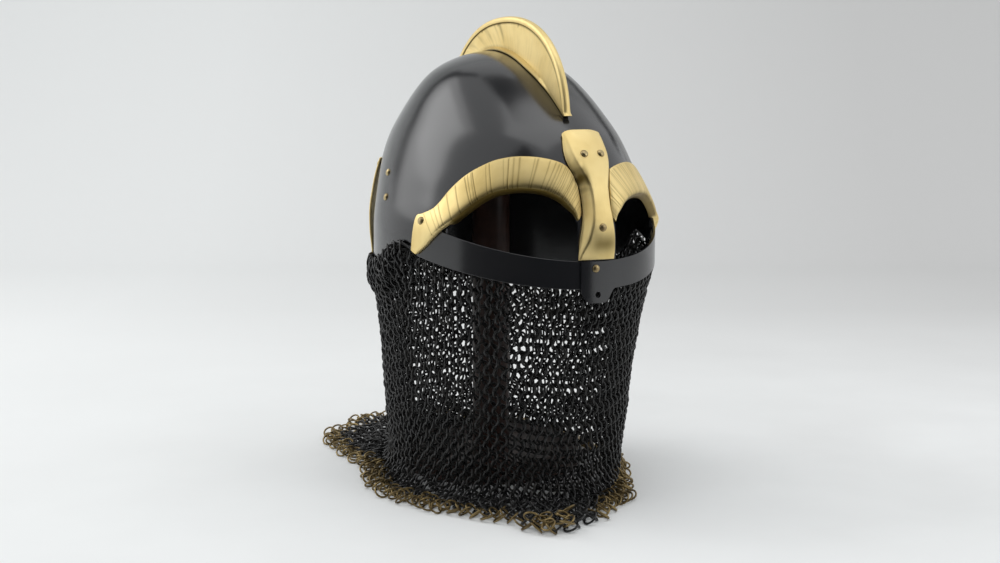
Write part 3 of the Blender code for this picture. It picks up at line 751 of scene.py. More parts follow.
BROW_PROFILE = (
    (1.00, 0.00), (1.00, 0.28), (0.985, 0.34), (0.93, 0.41), (0.84, 0.49), (0.73, 0.58), (0.61, 0.67),
    (0.49, 0.75), (0.37, 0.82), (0.26, 0.88), (0.17, 0.91), (0.10, 0.90), (0.05, 0.80), (0.01, 0.56),
    (-0.02, 0.26), (-0.045, -0.06), (-0.055, -0.50), (-0.035, -0.50), (-0.025, -0.06), (0.00, 0.00),
    (0.35, 0.00), (0.70, 0.00),
)


@dataclass
class BrassBrow(Dressing):
    """Brass brow with a rounded ridge, file grooves across it and a lip turned into the eye opening."""

    side: Side
    nasal: "NasalPlate"
    height: float = 0.0046
    nasal_gap: float = 0.0008
    over_band_start: float = 0.90
    over_band: float = 0.0018
    outer_left_drop: float = 0.0028
    lip_end: float = 0.90
    lip_fade: float = 0.05
    lip_width: float = 0.07
    over_band_fade: float = 0.11
    groove_depth: float = 0.00022
    grooves_start: float = 0.03
    grooves_end: float = 0.80
    groove_steps: tuple[float, ...] = (0.009, 0.012, 0.012, 0.017, 0.042)
    # Painted shade on the lip and towards the lower edge.
    lip_tone: float = 0.72
    low_tone: float = 0.16
    groove_tone: float = 0.55
    spans: int = 640
    seed: int = 11

    def build(self) -> Thing:
        """Make the brow and give it back."""
        stations = through(BROW_COLUMNS, self.spans + 1)
        draw = random.Random(self.seed + self.side.value)
        cuts = []
        middle = self.grooves_start
        while middle < self.grooves_end:
            cuts.append((
                middle, draw.uniform(0.0016, 0.0030), draw.uniform(0.4, 1.0), draw.uniform(-0.004, 0.004),
            ))
            middle += draw.choice(self.groove_steps) * draw.uniform(0.8, 1.2)

        def place(loop: int, step: int) -> Spot:
            inner_along, inner_rise, outer_along, outer_rise, station_height = stations[loop]
            across, share = BROW_PROFILE[step]
            kept = 1.0 - smooth((inner_along - self.lip_end) / self.lip_fade)
            if across < 0.0 or share < 0.0:
                across, share = across * kept, share * kept
            angle = ARCH.angle(mix(inner_along, outer_along, across))
            outer = ARCH.height(self.side, outer_rise, self.outer_left_drop)
            height = mix(ARCH.height(self.side, inner_rise), outer, across)
            edge = self.nasal.edge(self.side, height)
            angle = max(angle, BOWL.angle_at(abs(edge) + self.nasal_gap, height))
            over = self.over_band * smooth((inner_along - self.over_band_start) / self.over_band_fade)
            along = loop / self.spans
            groove = 0.0
            if share > 0.35:
                for middle, width, depth, slant in cuts:
                    groove += depth * bump(along - middle - slant * across, width)
            offset = SEAT_GAP + over + share * station_height * self.height - self.groove_depth * groove
            # Painted shade: dark on the lip turned into the eye opening, darker towards the lower edge, and
            # over the middle, more on the right brow; the grooves are darker too.
            tone = self.lip_tone * smooth((self.lip_width - across) / self.lip_width)
            tone += self.low_tone * smooth((0.45 - across) / 0.4)
            tone += (0.15 - 0.11 * self.side.value) * bump(along - 0.40, 0.30)
            tone = min(tone * kept + self.groove_tone * groove, 1.0)
            return BOWL.point(self.side.value * angle, height, offset), tone

        word = self.side.word
        brow = shown(f"brass_brow_{word}", lofted(place, self.spans, len(BROW_PROFILE)), sharp=55.0)
        return self.add(brow, BRASS, f"brow_{word}")


NASAL_COLUMNS = (
    (0.000, 0.86, 0.83, 0.25),
    (0.110, 0.97, 0.71, 0.50),
    (0.180, 1.00, 0.68, 0.62),
    (0.265, 0.92, 0.61, 0.75),
    (0.340, 0.75, 0.48, 0.86),
    (0.430, 0.64, 0.32, 0.94),
    (0.520, 0.60, 0.28, 1.00),
    (0.615, 0.60, 0.29, 1.00),
    (0.725, 0.67, 0.35, 1.00),
    (0.830, 0.75, 0.46, 0.88),
    (0.920, 0.76, 0.62, 0.58),
    (1.000, 0.76, 0.74, 0.25),
)


@dataclass
class NasalPlate(Dressing):
    """Brass plate over the nose bar: a raised face between two bent flanges."""

    top: float = 0.0935
    foot_gap: float = 0.0009
    half_width: float = 0.0175
    height: float = 0.0080
    edge_thickness: float = 0.0011
    top_shift: float = 0.0038
    foot_shift: float = -0.0018
    arch: float = 0.0012
    dent: float = 0.00022
    edge_round: float = 0.0003
    # Painted shade in a band over the foot.
    foot_tone: float = 0.80
    rows: int = 96
    steps: int = 36

    def ends(self) -> Pair:
        """Heights of the top and the foot."""
        return BOWL.rim + self.top, BOWL.band_top(0.0) + self.foot_gap

    def section(self, down: float) -> np.ndarray:
        """Edge, face and height at a share of the way down."""
        rows = np.array(NASAL_COLUMNS)
        return np.array([float(np.interp(down, rows[:, 0], rows[:, column])) for column in (1, 2, 3)])

    def edge(self, side: Side, height: float) -> float:
        """X of an edge at a height, or of its nearer end outside its length."""
        top, foot = self.ends()
        down = min(max((top - height) / (top - foot), 0.0), 1.0)
        return (
            side.value * self.section(down)[0] * self.half_width
            + mix(self.top_shift, self.foot_shift, down)
        )

    def build(self) -> Thing:
        """Make the plate and give it back."""
        top, foot = self.ends()
        around = 2 * self.steps

        def place(row: int, step: int) -> Spot:
            down = row / self.rows
            window = [self.section(min(max(down + shift, 0.0), 1.0)) for shift in (-0.03, 0.0, 0.03)]
            edge, face, share = sum(window) / len(window)
            over = step <= self.steps
            across = mix(-1.0, 1.0, step / self.steps) if over else mix(1.0, -1.0, step / self.steps - 1.0)
            x = across * edge * self.half_width
            near_top = 1.0 - smooth(down / 0.1)
            height = mix(top, foot, down) + self.arch * (1.0 - 2.0 * across ** 4) * near_top
            offset = SEAT_GAP
            tone = 0.0
            if over:
                fall = smooth((abs(across) - face / edge) / max(1.0 - face / edge, 0.05))
                raised = max(share * self.height, self.edge_thickness)
                offset += mix(raised, self.edge_thickness, fall)
                dent = self.dent * noise.noise(Vector((x * 130.0, height * 130.0, 2.0)))
                offset += dent * (1.0 - abs(across) ** 6)
                # Painted shade: a mottled patch in the hollow on the right flank, and a dark band over the
                # foot.
                painted_hollow_shade = bump(down - 0.37, 0.10) * smooth(-across * 3.0 - 1.0)
                tone = painted_hollow_shade * smooth(0.9 + 1.5 * noise.noise(Vector((x * 260.0, height * 260.0, 5.0))))
                tone += self.foot_tone * bump(down - 0.87, 0.075) * smooth(1.15 - abs(across - 0.1))
            shift = mix(self.top_shift, self.foot_shift, down)
            return BOWL.point(BOWL.angle_at(x + shift, height), height, offset), min(tone, 1.0)

        plate = shown("brass_nasal", lofted(place, self.rows, around), sharp=50.0)
        soften(plate, self.edge_round)
        return self.add(plate, BRASS, "nasal")


@dataclass
class BrassCrest(Dressing):
    """Brass crescent on edge along the crown: two sheets over a foot, folded together at the rim."""

    rise: float = 0.0235
    half_length: float = 0.0900
    back: float = 0.011
    fullness: float = 2.2
    base: float = 0.054
    end: float = 4.0
    web: float = 0.0042
    foot: float = 0.0105
    pits: tuple[float, ...] = (0.390, 0.531, 0.646)
    bead: float = 0.0056
    bead_depth: float = 0.0046
    flange: float = 0.0011
    creases: tuple[Triple, ...] = (
        (0.50, 0.010, 1.0), (0.535, 0.006, 0.5), (0.60, 0.012, 0.6), (0.66, 0.008, 0.5), (0.72, 0.014, 0.4),
    )
    crease_depth: float = 0.0002
    bead_profile: tuple[Triple, ...] = (
        (0.50, 0.40, 0.0), (0.46, 0.74, 0.0), (0.34, 0.92, 0.0), (0.12, 1.0, 0.05),
    )
    webs: int = 14
    spans: int = 260

    def reach_of_skull(self, direction: Vector, start: Vector) -> float:
        """Distance from the crest's centre to the skull along a direction in the middle plane."""
        low, high = 0.0, 2.0 * self.half_length
        for _ in range(40):
            reach = 0.5 * (low + high)
            point = start + direction * reach
            middle, half_length, _ = BOWL.section(point.z)
            inside = point.z < BOWL.apex and abs(point.y - middle) < half_length
            low, high = (reach, high) if inside else (low, reach)
        return low

    def build(self) -> Thing:
        """Make the crest and give it back."""
        start = Vector((0.0, -BOWL.forward + self.back, BOWL.apex - self.base))
        half_height = self.base + self.rise
        lines = []
        for station in range(self.spans + 1):
            turn = math.radians(mix(self.end, 180.0 - self.end, station / self.spans))
            direction = Vector((0.0, -math.cos(turn), math.sin(turn)))
            foot = self.reach_of_skull(direction, start) + SEAT_GAP
            along = (abs(math.cos(turn)) / self.half_length) ** self.fullness
            upward = (math.sin(turn) / half_height) ** self.fullness
            rim = max((along + upward) ** (-1.0 / self.fullness), foot + 1.1 * self.bead_depth)
            lines.append((direction, foot, rim))

        def half(station: int) -> list[Triple]:
            """Half outline from the foot to the rim: x, reach and tone of each point."""
            _, foot, rim = lines[station]
            share = station / self.spans
            deep = min(self.bead_depth, 0.6 * (rim - foot))
            bead = rim - deep
            flange = foot + min(self.flange, 0.2 * (rim - foot))
            side = 0.5 * self.web
            swell = smooth((share - 0.06) / 0.2) * mix(1.0, 0.3, smooth((share - 0.45) / 0.3))
            wide = mix(side, 0.5 * self.foot, swell)
            # Tones: painted shadow along the foot, where it stands off the bowl, and darker near the foot;
            # creases, pits and the seam under the bead are darker, with random streaks.
            outline = [(wide, foot, 0.85), (wide, flange, 0.25), (mix(side, wide, 0.6), flange + 0.0005, 0.3)]
            pit = sum(bump(share - at, 0.0045) for at in self.pits)
            for step in range(self.webs + 1):
                up = step / self.webs
                reach = mix(flange + 0.0013, bead, up)
                lean = share - 0.05 * (up - 0.5)
                crease = smooth(1.6 * up) * sum(
                    bump(lean - at, width) * depth for at, width, depth in self.creases
                )
                streak = smooth(0.5 + 1.4 * noise.noise(Vector((lean * 160.0, up * 1.5, 3.0)))) - 0.5
                seam = 0.85 * bump(up - 1.0, 0.025) + 0.9 * pit * bump(up - 0.97, 0.06)
                tone = 0.50 * crease + 0.14 * streak + 0.3 * bump(up, 0.08) + seam
                x = side - self.crease_depth * crease * math.sin(math.pi * up)
                outline.append((x, reach, min(max(tone, 0.0), 1.0)))
            outline += [
                (side - 0.0003, bead + 0.05 * deep, 0.95), (0.47 * self.bead, bead + 0.16 * deep, 0.1),
            ]
            return outline + [(x * self.bead, mix(bead, rim, up), tone) for x, up, tone in self.bead_profile]

        count = len(half(0))
        halves = [half(station) for station in range(self.spans + 1)]

        def place(station: int, step: int) -> Spot:
            sign = 1.0 if step < count else -1.0
            x, reach, tone = halves[station][step if step < count else 2 * count - 1 - step]
            return start + lines[station][0] * reach + Vector((sign * x, 0.0, 0.0)), tone

        crest = shown("brass_crest", lofted(place, self.spans, 2 * count), sharp=48.0)
        return self.add(crest, BRASS, "crest")


@dataclass
class TempleStrip(Dressing):
    """Brass strip behind a temple, bowed off the bowl between its ends."""

    side: Side
    angle: float = 130.0
    width: float = 0.028
    tall: float = 0.0700
    thickness: float = 0.0016
    bow: float = 0.0020
    rise: float = 0.0038
    waviness: float = 0.00018
    edge_round: float = 0.0004
    rows: int = 48
    columns: int = 16

    def build(self) -> Thing:
        """Make the strip and give it back."""
        half_angle = math.degrees(2.0 * self.width / (BOWL.length + BOWL.width))

        def place(row: int, step: int) -> Spot:
            share = row / self.rows
            near = SEAT_GAP + self.bow * math.sin(math.pi * share)
            inside = step <= self.columns
            column = step if inside else 2 * self.columns + 1 - step
            angle = self.side.value * (self.angle + half_angle * (2.0 * column / self.columns - 1.0))
            height = BOWL.rim + self.rise + self.tall * share
            wave = self.waviness * noise.noise(Vector((share * 7.0, column * 0.4, 9.0)))
            offset = near + (0.0 if inside else self.thickness + wave)
            return BOWL.point(angle, height, offset), 0.0

        word = self.side.word
        strip = shown(f"temple_strip_{word}", lofted(place, self.rows, 2 * self.columns + 2))
        soften(strip, self.edge_round)
        return self.add(strip, BRASS, f"strip_{word}")


@dataclass
class Rivets(Dressing):
    """Domed rivet heads, each seated on the finished piece that carries it."""

    radius: float = 0.0027
    tall: float = 0.0017
    sunk: float = 0.0003
    dent: float = 0.12
    dirt: float = 0.8
    dirt_top: float = 0.0005
    dirt_fade: float = 0.0006
    lean: float = 4.0
    seek: float = 0.02
    rows: int = 6
    steps: int = 24
    seed: int = 5

    def head(self, node: str, carrier: BVHTree) -> None:
        """Make one head.

        Args:
            node: The frame's rivet that it stands for.
            carrier: The surface that carries it.
        """
        low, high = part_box(node)
        middle = 0.5 * (low + high)
        height = middle.z
        centre, half_length, half_width = BOWL.section(height)
        angle = math.degrees(math.atan2(middle.x / half_width, -(middle.y - centre) / half_length))
        out = BOWL.normal(angle, height)
        hit, normal, _, _ = carrier.ray_cast(middle + out * self.seek, -out)
        draw = random.Random(f"{self.seed} {node}")
        profile = [(0.0, -self.sunk), (1.02 * self.radius, -self.sunk)]
        for row in range(self.rows + 1):
            rise = 0.5 * math.pi * row / self.rows
            flat = 1.0 - self.dent * draw.random() * math.sin(rise) ** 3
            profile.append((self.radius * math.cos(rise), self.tall * math.sin(rise) * flat))
        profile[-1] = (0.0, profile[-1][1])
        mesh = turned(profile, self.steps)
        tones = mesh.verts.layers.float.new(TONE)
        for vertex in mesh.verts:
            # Darker towards the foot of the head.
            vertex[tones] = self.dirt * smooth((self.dirt_top - vertex.co.z) / self.dirt_fade)
        turn = normal.to_track_quat("Z", "Y").to_matrix().to_4x4()
        lean = Matrix.Rotation(math.radians(draw.uniform(-self.lean, self.lean)), 4, "X")
        bmesh.ops.transform(mesh, matrix=Matrix.Translation(hit) @ turn @ lean, verts=mesh.verts)
        self.add(shown(node.replace("rivet", "rivet_head"), mesh), RIVET_BRASS, node)

    def build(self, carriers: dict[str, Thing]) -> None:
        """Make every head.

        Args:
            carriers: The pieces that carry rivets, by the name of the node that each stands for.
        """
        trees = {node: surface_tree(piece) for node, piece in carriers.items()}
        seats = {"nasal_rivet": "nasal", "visor_rivet": "visor_left", "side_rivet": "skull"}
        for side in Side:
            seats[f"brow_rivet_{side.word}"] = f"brow_{side.word}"
            seats[f"strip_rivet_{side.word}"] = f"strip_{side.word}"
        for node in sorted(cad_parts):
            if "rivet" in node:
                seat = next(carrier for start, carrier in seats.items() if node.startswith(start))
                self.head(node, trees[seat])


@dataclass
class Mail(Dressing):
    """Curtain of linked rings: black ones down to the table, and brass ones along its edge."""

    wire: float = 0.0020
    wire_outside: float = 0.0021
    wire_inside: float = 0.0026
    cross_start: float = 73.0
    cross_end: float = 81.0
    level_start: float = 104.0
    top_gap: float = 0.0006
    back_shift: float = 0.011
    floor: float = 0.880
    skirt_min: float = 0.045
    flat: float = 0.0015
    ring: float = 0.00471
    ring_wire: float = 0.00162
    hem_wire: float = 0.00140
    tilt: float = 40.0
    around: int = 94
    hem: float = 0.0170
    edge: float = 0.0012
    lowest: float = 0.0020
    heap: int = 13
    crowded: float = 0.74
    crowd_end: float = 0.012
    crowd_fade: float = 0.030
    bend: float = 0.140
    bend_width: float = 0.024
    first_row: float = 0.0019
    most_rows: int = 70
    probe: float = 0.002
    top_tilt: float = 42.0
    bowl_tilt: float = 22.0
    bowl_gap: float = 0.0005
    bowl_start: float = 72.0
    bowl_fade: float = 9.0
    rim_fade: float = 0.004
    uneven: float = 4.0
    nod: float = 3.5
    spreads: Triple = (0.00018, 0.00012, 0.00022)
    ripple: float = 0.0012
    front_end: float = 62.0
    back_start: float = 133.0
    bare_hem: Pair = (-21.0, -3.0)
    heap_place: tuple[Pair, ...] = ((-0.041, 0.0085), (-0.169, 0.007))
    heap_heights: Pair = (0.005, 0.010)
    heap_tilt: float = 0.45
    wire_columns: int = 240
    wire_sides: int = 10
    seed: int = 21
    drops: tuple[Triple, ...] = (
        (0.83, 0.937, 0.40), (0.58, 0.882, 0.70), (0.28, 0.850, 0.90), (0.11, 0.812, 1.00),
    )
    outline: tuple[Pair, ...] = (
        (-168, 1.70), (-152, 1.58), (-111, 1.07), (-76, 1.19), (-53, 1.20), (-34, 1.25), (-24, 1.45),
        (-15, 1.38), (-3, 1.23), (11, 1.10), (46, 0.91), (74, 0.93), (115, 1.04), (150, 1.40),
    )

    def wire_height(self, angle: float) -> float:
        """Height of the wire's middle."""
        angle = abs(angle)
        front = BOWL.band_low(min(angle, self.cross_start)) + self.wire
        peak = BOWL.rim_height(BOWL.rim_drop_start) - 0.5 * self.wire - 2.0 * SEAT_GAP
        rise = smooth((angle - self.cross_start) / (self.cross_end - self.cross_start))
        fall = smooth((angle - self.cross_end) / (self.level_start - self.cross_end))
        return mix(mix(front, peak, rise), BOWL.rim + self.wire, fall)

    def wire_offset(self, angle: float) -> float:
        """Distance of the wire's middle from the skull's skin."""
        share = (abs(angle) - self.cross_start) / (self.cross_end - self.cross_start)
        return mix(-self.wire_inside, self.wire_outside, min(max(share, 0.0), 1.0))

    def reach(self, angle: float) -> float:
        """Reach of the mail's edge on the table, as a share of the skull's girth."""
        rows = [*self.outline, (self.outline[0][0] + 360.0, self.outline[0][1])]
        angle = angle + 360.0 if angle < rows[0][0] else angle
        for (low, before), (high, after) in zip(rows, rows[1:]):
            if angle <= high:
                return mix(before, after, smooth((angle - low) / (high - low)))
        return rows[-1][1]

    def oval(self, angle: float, height: float, girth: float, shift: float) -> Vector:
        """Point of the mail on an oval of a share of the skull's girth."""
        x = 0.5 * BOWL.width * girth * BOWL.across(angle)
        y = shift - BOWL.forward - 0.5 * BOWL.length * girth * math.cos(math.radians(angle))
        return Vector((x, y, height))

    def route(self, angle: float) -> np.ndarray:
        """Points down the mail's middle at one angle, from the wire to its edge on the table."""
        angle = (angle + 180.0) % 360.0 - 180.0
        top = self.wire_height(angle) - 0.5 * self.wire - self.top_gap
        reach = self.reach(angle)
        floor = min(self.floor, reach - self.skirt_min)
        past_rim = min(top, BOWL.rim_height(angle)) - self.flat
        start = [BOWL.point(angle, height, self.wire_offset(angle)) for height in (top, past_rim)]
        line = [
            self.oval(angle, top * high, girth, self.back_shift * back)
            for high, girth, back in self.drops
        ]
        line += [
            self.oval(angle, self.flat, mix(floor, reach, share), self.back_shift)
            for share in (0.0, 0.5, 1.0)
        ]
        for _ in range(3):
            cut = [line[0]]
            for point, after in zip(line, line[1:]):
                cut += [point.lerp(after, 0.25), point.lerp(after, 0.75)]
            line = [*cut, line[-1]]
        return np.array([list(point) for point in start + line])

    def row_pitch(self, across: np.ndarray) -> np.ndarray:
        """Distance between rows of rings whose wires touch, for a distance between rings of a row."""
        side = np.minimum(across / (4.0 * math.cos(math.radians(self.tilt))), 0.8 * self.ring)
        return 2.0 * np.sqrt(self.ring ** 2 - side ** 2) - self.ring_wire

    def lattice(self) -> list[tuple[int, int, float, np.ndarray, np.ndarray, np.ndarray]]:
        """Places of the rings.

        Returns:
            For each ring its row, its half column, how far its middle is from the mail's edge, and its
            middle, its direction round the mail and its direction down it.
        """
        halves = 2 * self.around
        angles = [360.0 * half / halves - 180.0 for half in range(halves)]
        routes = [self.route(angle) for angle in angles]
        lengths = []
        for line in routes:
            steps = np.linalg.norm(np.diff(line, axis=0), axis=1)
            lengths.append(np.concatenate([[0.0], np.cumsum(steps)]))
        total = np.array([length[-1] for length in lengths])

        def walk(distances: np.ndarray) -> np.ndarray:
            """Points at a distance down each route, past its end too."""
            points = np.empty((halves, 3))
            for half, (line, length, distance) in enumerate(zip(routes, lengths, distances)):
                points[half] = [np.interp(distance, length, line[:, axis]) for axis in range(3)]
                if distance > length[-1]:
                    ahead = line[-1] - line[-2]
                    points[half] += ahead / np.linalg.norm(ahead) * (distance - length[-1])
            return points

        found = []
        down = np.full(halves, self.first_row)
        for row in range(self.most_rows):
            points = walk(down)
            around = np.roll(points, -1, axis=0) - np.roll(points, 1, axis=0)
            pitch = np.linalg.norm(around, axis=1)
            ahead = walk(down + self.probe) - walk(np.maximum(down - self.probe, 0.0))
            for half in range(row % 2, halves, 2):
                left = total[half] - self.edge - down[half]
                if left > 0.0:
                    found.append((row, half, left, points[half], around[half], ahead[half]))
            mean = float(down.mean())
            crowd = mix(self.crowded, 1.0, smooth((mean - self.crowd_end) / self.crowd_fade))
            crowd *= mix(1.0, self.crowded, bump(mean - self.bend, self.bend_width))
            down = down + self.row_pitch(pitch) * crowd
            down = (np.roll(down, 1) + 2.0 * down + np.roll(down, -1)) / 4.0
        return found

    def ring_shape(self, wire: float, segments: int = 14, sides: int = 6) -> bpy.types.Mesh:
        """One ring of a wire about the origin, flat in the X and Y plane."""
        mesh = bmesh.new()
        stand = Matrix.Translation((self.ring, 0.0, 0.0)) @ Matrix.Rotation(0.5 * math.pi, 4, "X")
        bmesh.ops.create_circle(mesh, cap_ends=False, segments=sides, radius=0.5 * wire, matrix=stand)
        spun(mesh, mesh.verts[:] + mesh.edges[:], segments)
        bmesh.ops.recalc_face_normals(mesh, faces=mesh.faces)
        return filled("ring", mesh)

    def frames(self) -> dict[str, list[np.ndarray]]:
        """Matrices of the rings, by the piece that they belong to."""
        draw = random.Random(self.seed)
        pieces: dict[str, list[np.ndarray]] = {}
        for row, half, left, middle, around, down in self.lattice():
            across = Vector(around).normalized()
            ahead = Vector(down).normalized()
            out = ahead.cross(across).normalized()
            ahead = across.cross(out)
            lying = smooth((out.z - 0.35) / 0.5)
            loose = mix(1.0, 2.0, lying)
            angle = 180.0 * half / self.around - 180.0
            over_rim = (middle[2] - BOWL.rim_height(angle) + self.rim_fade) / self.rim_fade
            on_bowl = smooth(over_rim) * smooth((abs(angle) - self.bowl_start) / self.bowl_fade)
            tilt = mix(self.tilt if row else self.top_tilt, self.bowl_tilt, on_bowl)
            lean = math.radians((tilt if row % 2 else -tilt) + draw.gauss(0.0, self.uneven) * loose)
            nod = math.radians(draw.gauss(0.0, self.nod) * loose)
            place = Vector(middle)
            for way, spread in zip((across, ahead, out), self.spreads):
                place += way * draw.gauss(0.0, spread) * loose
            ripple = lying * self.ripple * (0.5 + noise.noise(Vector(middle) * 45.0))
            place += out * (ripple + self.bowl_gap * on_bowl)
            place.z = max(place.z, self.lowest)
            turn = Matrix((across, ahead, out)).transposed().to_4x4()
            turn = turn @ Matrix.Rotation(lean, 4, "Y") @ Matrix.Rotation(nod, 4, "X")
            spin = Matrix.Rotation(draw.uniform(0.0, math.tau), 4, "Z")
            pieces.setdefault(self.piece_of(angle, left), []).append(
                np.array(Matrix.Translation(place) @ turn @ spin)
            )
        for _ in range(self.heap):
            place = Vector(
                [draw.gauss(*spot) for spot in self.heap_place] + [draw.uniform(*self.heap_heights)]
            )
            turn = Matrix.Rotation(draw.uniform(0.0, math.tau), 4, "Z")
            turn @= Matrix.Rotation(draw.gauss(0.0, self.heap_tilt), 4, "X")
            pieces["mail_hem_rings"].append(np.array(Matrix.Translation(place) @ turn))
        return pieces

    def piece_of(self, angle: float, left: float) -> str:
        """Name of the piece of a ring, from its angle and how far it is from the mail's edge."""
        first, last = self.bare_hem
        if left < self.hem - self.edge and not first < angle < last:
            return "mail_hem_rings"
        if abs(angle) < self.front_end:
            return "mail_rings_front"
        if abs(angle) > self.back_start:
            return "mail_rings_back"
        return "mail_rings_left" if angle > 0.0 else "mail_rings_right"

    def build(self) -> None:
        """Make the rings and the wire that they hang from."""
        for name, matrices in sorted(self.frames().items()):
            on_hem = name == "mail_hem_rings"
            shape = self.ring_shape(self.hem_wire if on_hem else self.ring_wire)
            rest = np.empty(len(shape.vertices) * 3)
            shape.vertices.foreach_get("co", rest)
            rest = rest.reshape(-1, 3)
            mesh = bmesh.new()
            for matrix in matrices:
                moved = rest @ matrix[:3, :3].T + matrix[:3, 3]
                moved[:, 2] += max(0.0, -float(moved[:, 2].min()))
                shape.vertices.foreach_set("co", moved.astype(np.float32).ravel())
                mesh.from_mesh(shape)
            thing = linked(name, filled(name, mesh))
            thing.data.shade_smooth()
            bpy.data.meshes.remove(shape)
            finish, node = (BRASS_RING, "mail_hem") if on_hem else (BLACK_RING, "mail_curtain")
            self.add(thing, finish, node)
            log.info("%s: %d rings", name, len(matrices))

        def place(column: int, side: int) -> Spot:
            angle = 360.0 * column / self.wire_columns - 180.0
            middle = BOWL.point(angle, self.wire_height(angle), self.wire_offset(angle))
            turn = math.tau * side / self.wire_sides
            swing = BOWL.normal(angle, BOWL.rim) * math.cos(turn) + UP * math.sin(turn)
            return middle + swing * 0.5 * self.wire, 0.0

        wire = lofted(place, self.wire_columns, self.wire_sides, ring=True)
        self.add(shown("hanging_wire", wire), BLACK_RING, "mail_wire")


@dataclass
class WoodenStand(Dressing):
    """Turned stand under the helmet: a foot, a post and a rounded head."""

    edge: float = 0.004
    crown: float = 0.040
    crown_rows: int = 12
    steps: int = 72

    def part(self, node: str, profile: Sequence[Pair]) -> None:
        """Make one part from its profile."""
        name = node.replace("stand", "turned")
        self.add(shown(name, turned(profile, self.steps), sharp=30.0), STAINED_WOOD, node)

    def build(self) -> None:
        """Make the three parts inside the sizes of the frame's own."""
        low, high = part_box("stand_foot")
        radius, edge = high.x, self.edge
        self.part("stand_foot", [
            (0.0, low.z), (radius - 0.001, low.z), (radius, low.z + 0.001), (radius, high.z - edge),
            (radius - 0.10 * edge, high.z - 0.6 * edge), (radius - 0.4 * edge, high.z - 0.2 * edge),
            (radius - edge, high.z), (radius - 1.6 * edge, high.z - 0.0003), (0.0, high.z),
        ])
        low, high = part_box("stand_post")
        self.part("stand_post", [(0.0, low.z), (high.x, low.z), (high.x, high.z), (0.0, high.z)])
        low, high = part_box("stand_head")
        radius = high.x
        lean = math.asin(radius / self.crown)
        profile = [(0.0, low.z), (0.78 * radius, low.z), (0.9 * radius, low.z + 0.0015)]
        profile += [(radius, low.z + 0.2 * radius), (radius, high.z - self.crown * (1.0 - math.cos(lean)))]
        for row in range(1, self.crown_rows):
            part = lean * (1.0 - row / self.crown_rows)
            profile.append((self.crown * math.sin(part), high.z - self.crown * (1.0 - math.cos(part))))
        self.part("stand_head", [*profile, (0.0, high.z)])


@dataclass(frozen=True)
class SoftLight:
    """Rectangular light that faces the helmet, by the azimuth and rise of its direction from there."""

    name: str
    azimuth: float
    rise: float
    far: float
    size: Pair
    glow: float


@dataclass(frozen=True)
class Card:
    """Black card that the bowl mirrors as a dark patch, by the azimuths and rises of its corners."""

    far: float
    corners: tuple[Pair, ...]


LIGHTS = (
    SoftLight("light_left", -104.0, 36.0, 1.6, (0.7, 0.8), 1.15),
    SoftLight("light_left_wide", -108.0, 34.0, 1.9, (1.1, 1.6), 1.0),
    SoftLight("light_front", 62.0, 20.0, 1.5, (0.5, 0.6), 1.7),
    SoftLight("light_top", 60.0, 82.0, 1.9, (1.6, 1.2), 0.9),
)
CARDS = (
    Card(1.5, ((-149.0, 66.0), (-151.0, 51.0), (-136.0, 38.0), (-131.0, 9.0), (-124.0, 9.0), (-128.0, 38.0),
               (-142.0, 51.0), (-139.0, 66.0))),
    Card(1.3, ((166.0, 28.0), (166.0, 21.0), (138.0, 13.0), (138.0, 20.0))),
    Card(1.3, ((-140.0, 69.0), (140.0, 60.0), (-84.0, 84.0))),
    Card(1.3, ((-45.0, -9.0), (45.0, -9.0), (45.0, 30.0), (14.0, 44.0), (0.0, 50.0), (-14.0, 60.0),
               (-26.0, 50.0), (-45.0, 34.0))),
    Card(0.42, ((-48.0, -33.0), (42.0, -33.0), (42.0, -9.0), (-48.0, -9.0))),
)


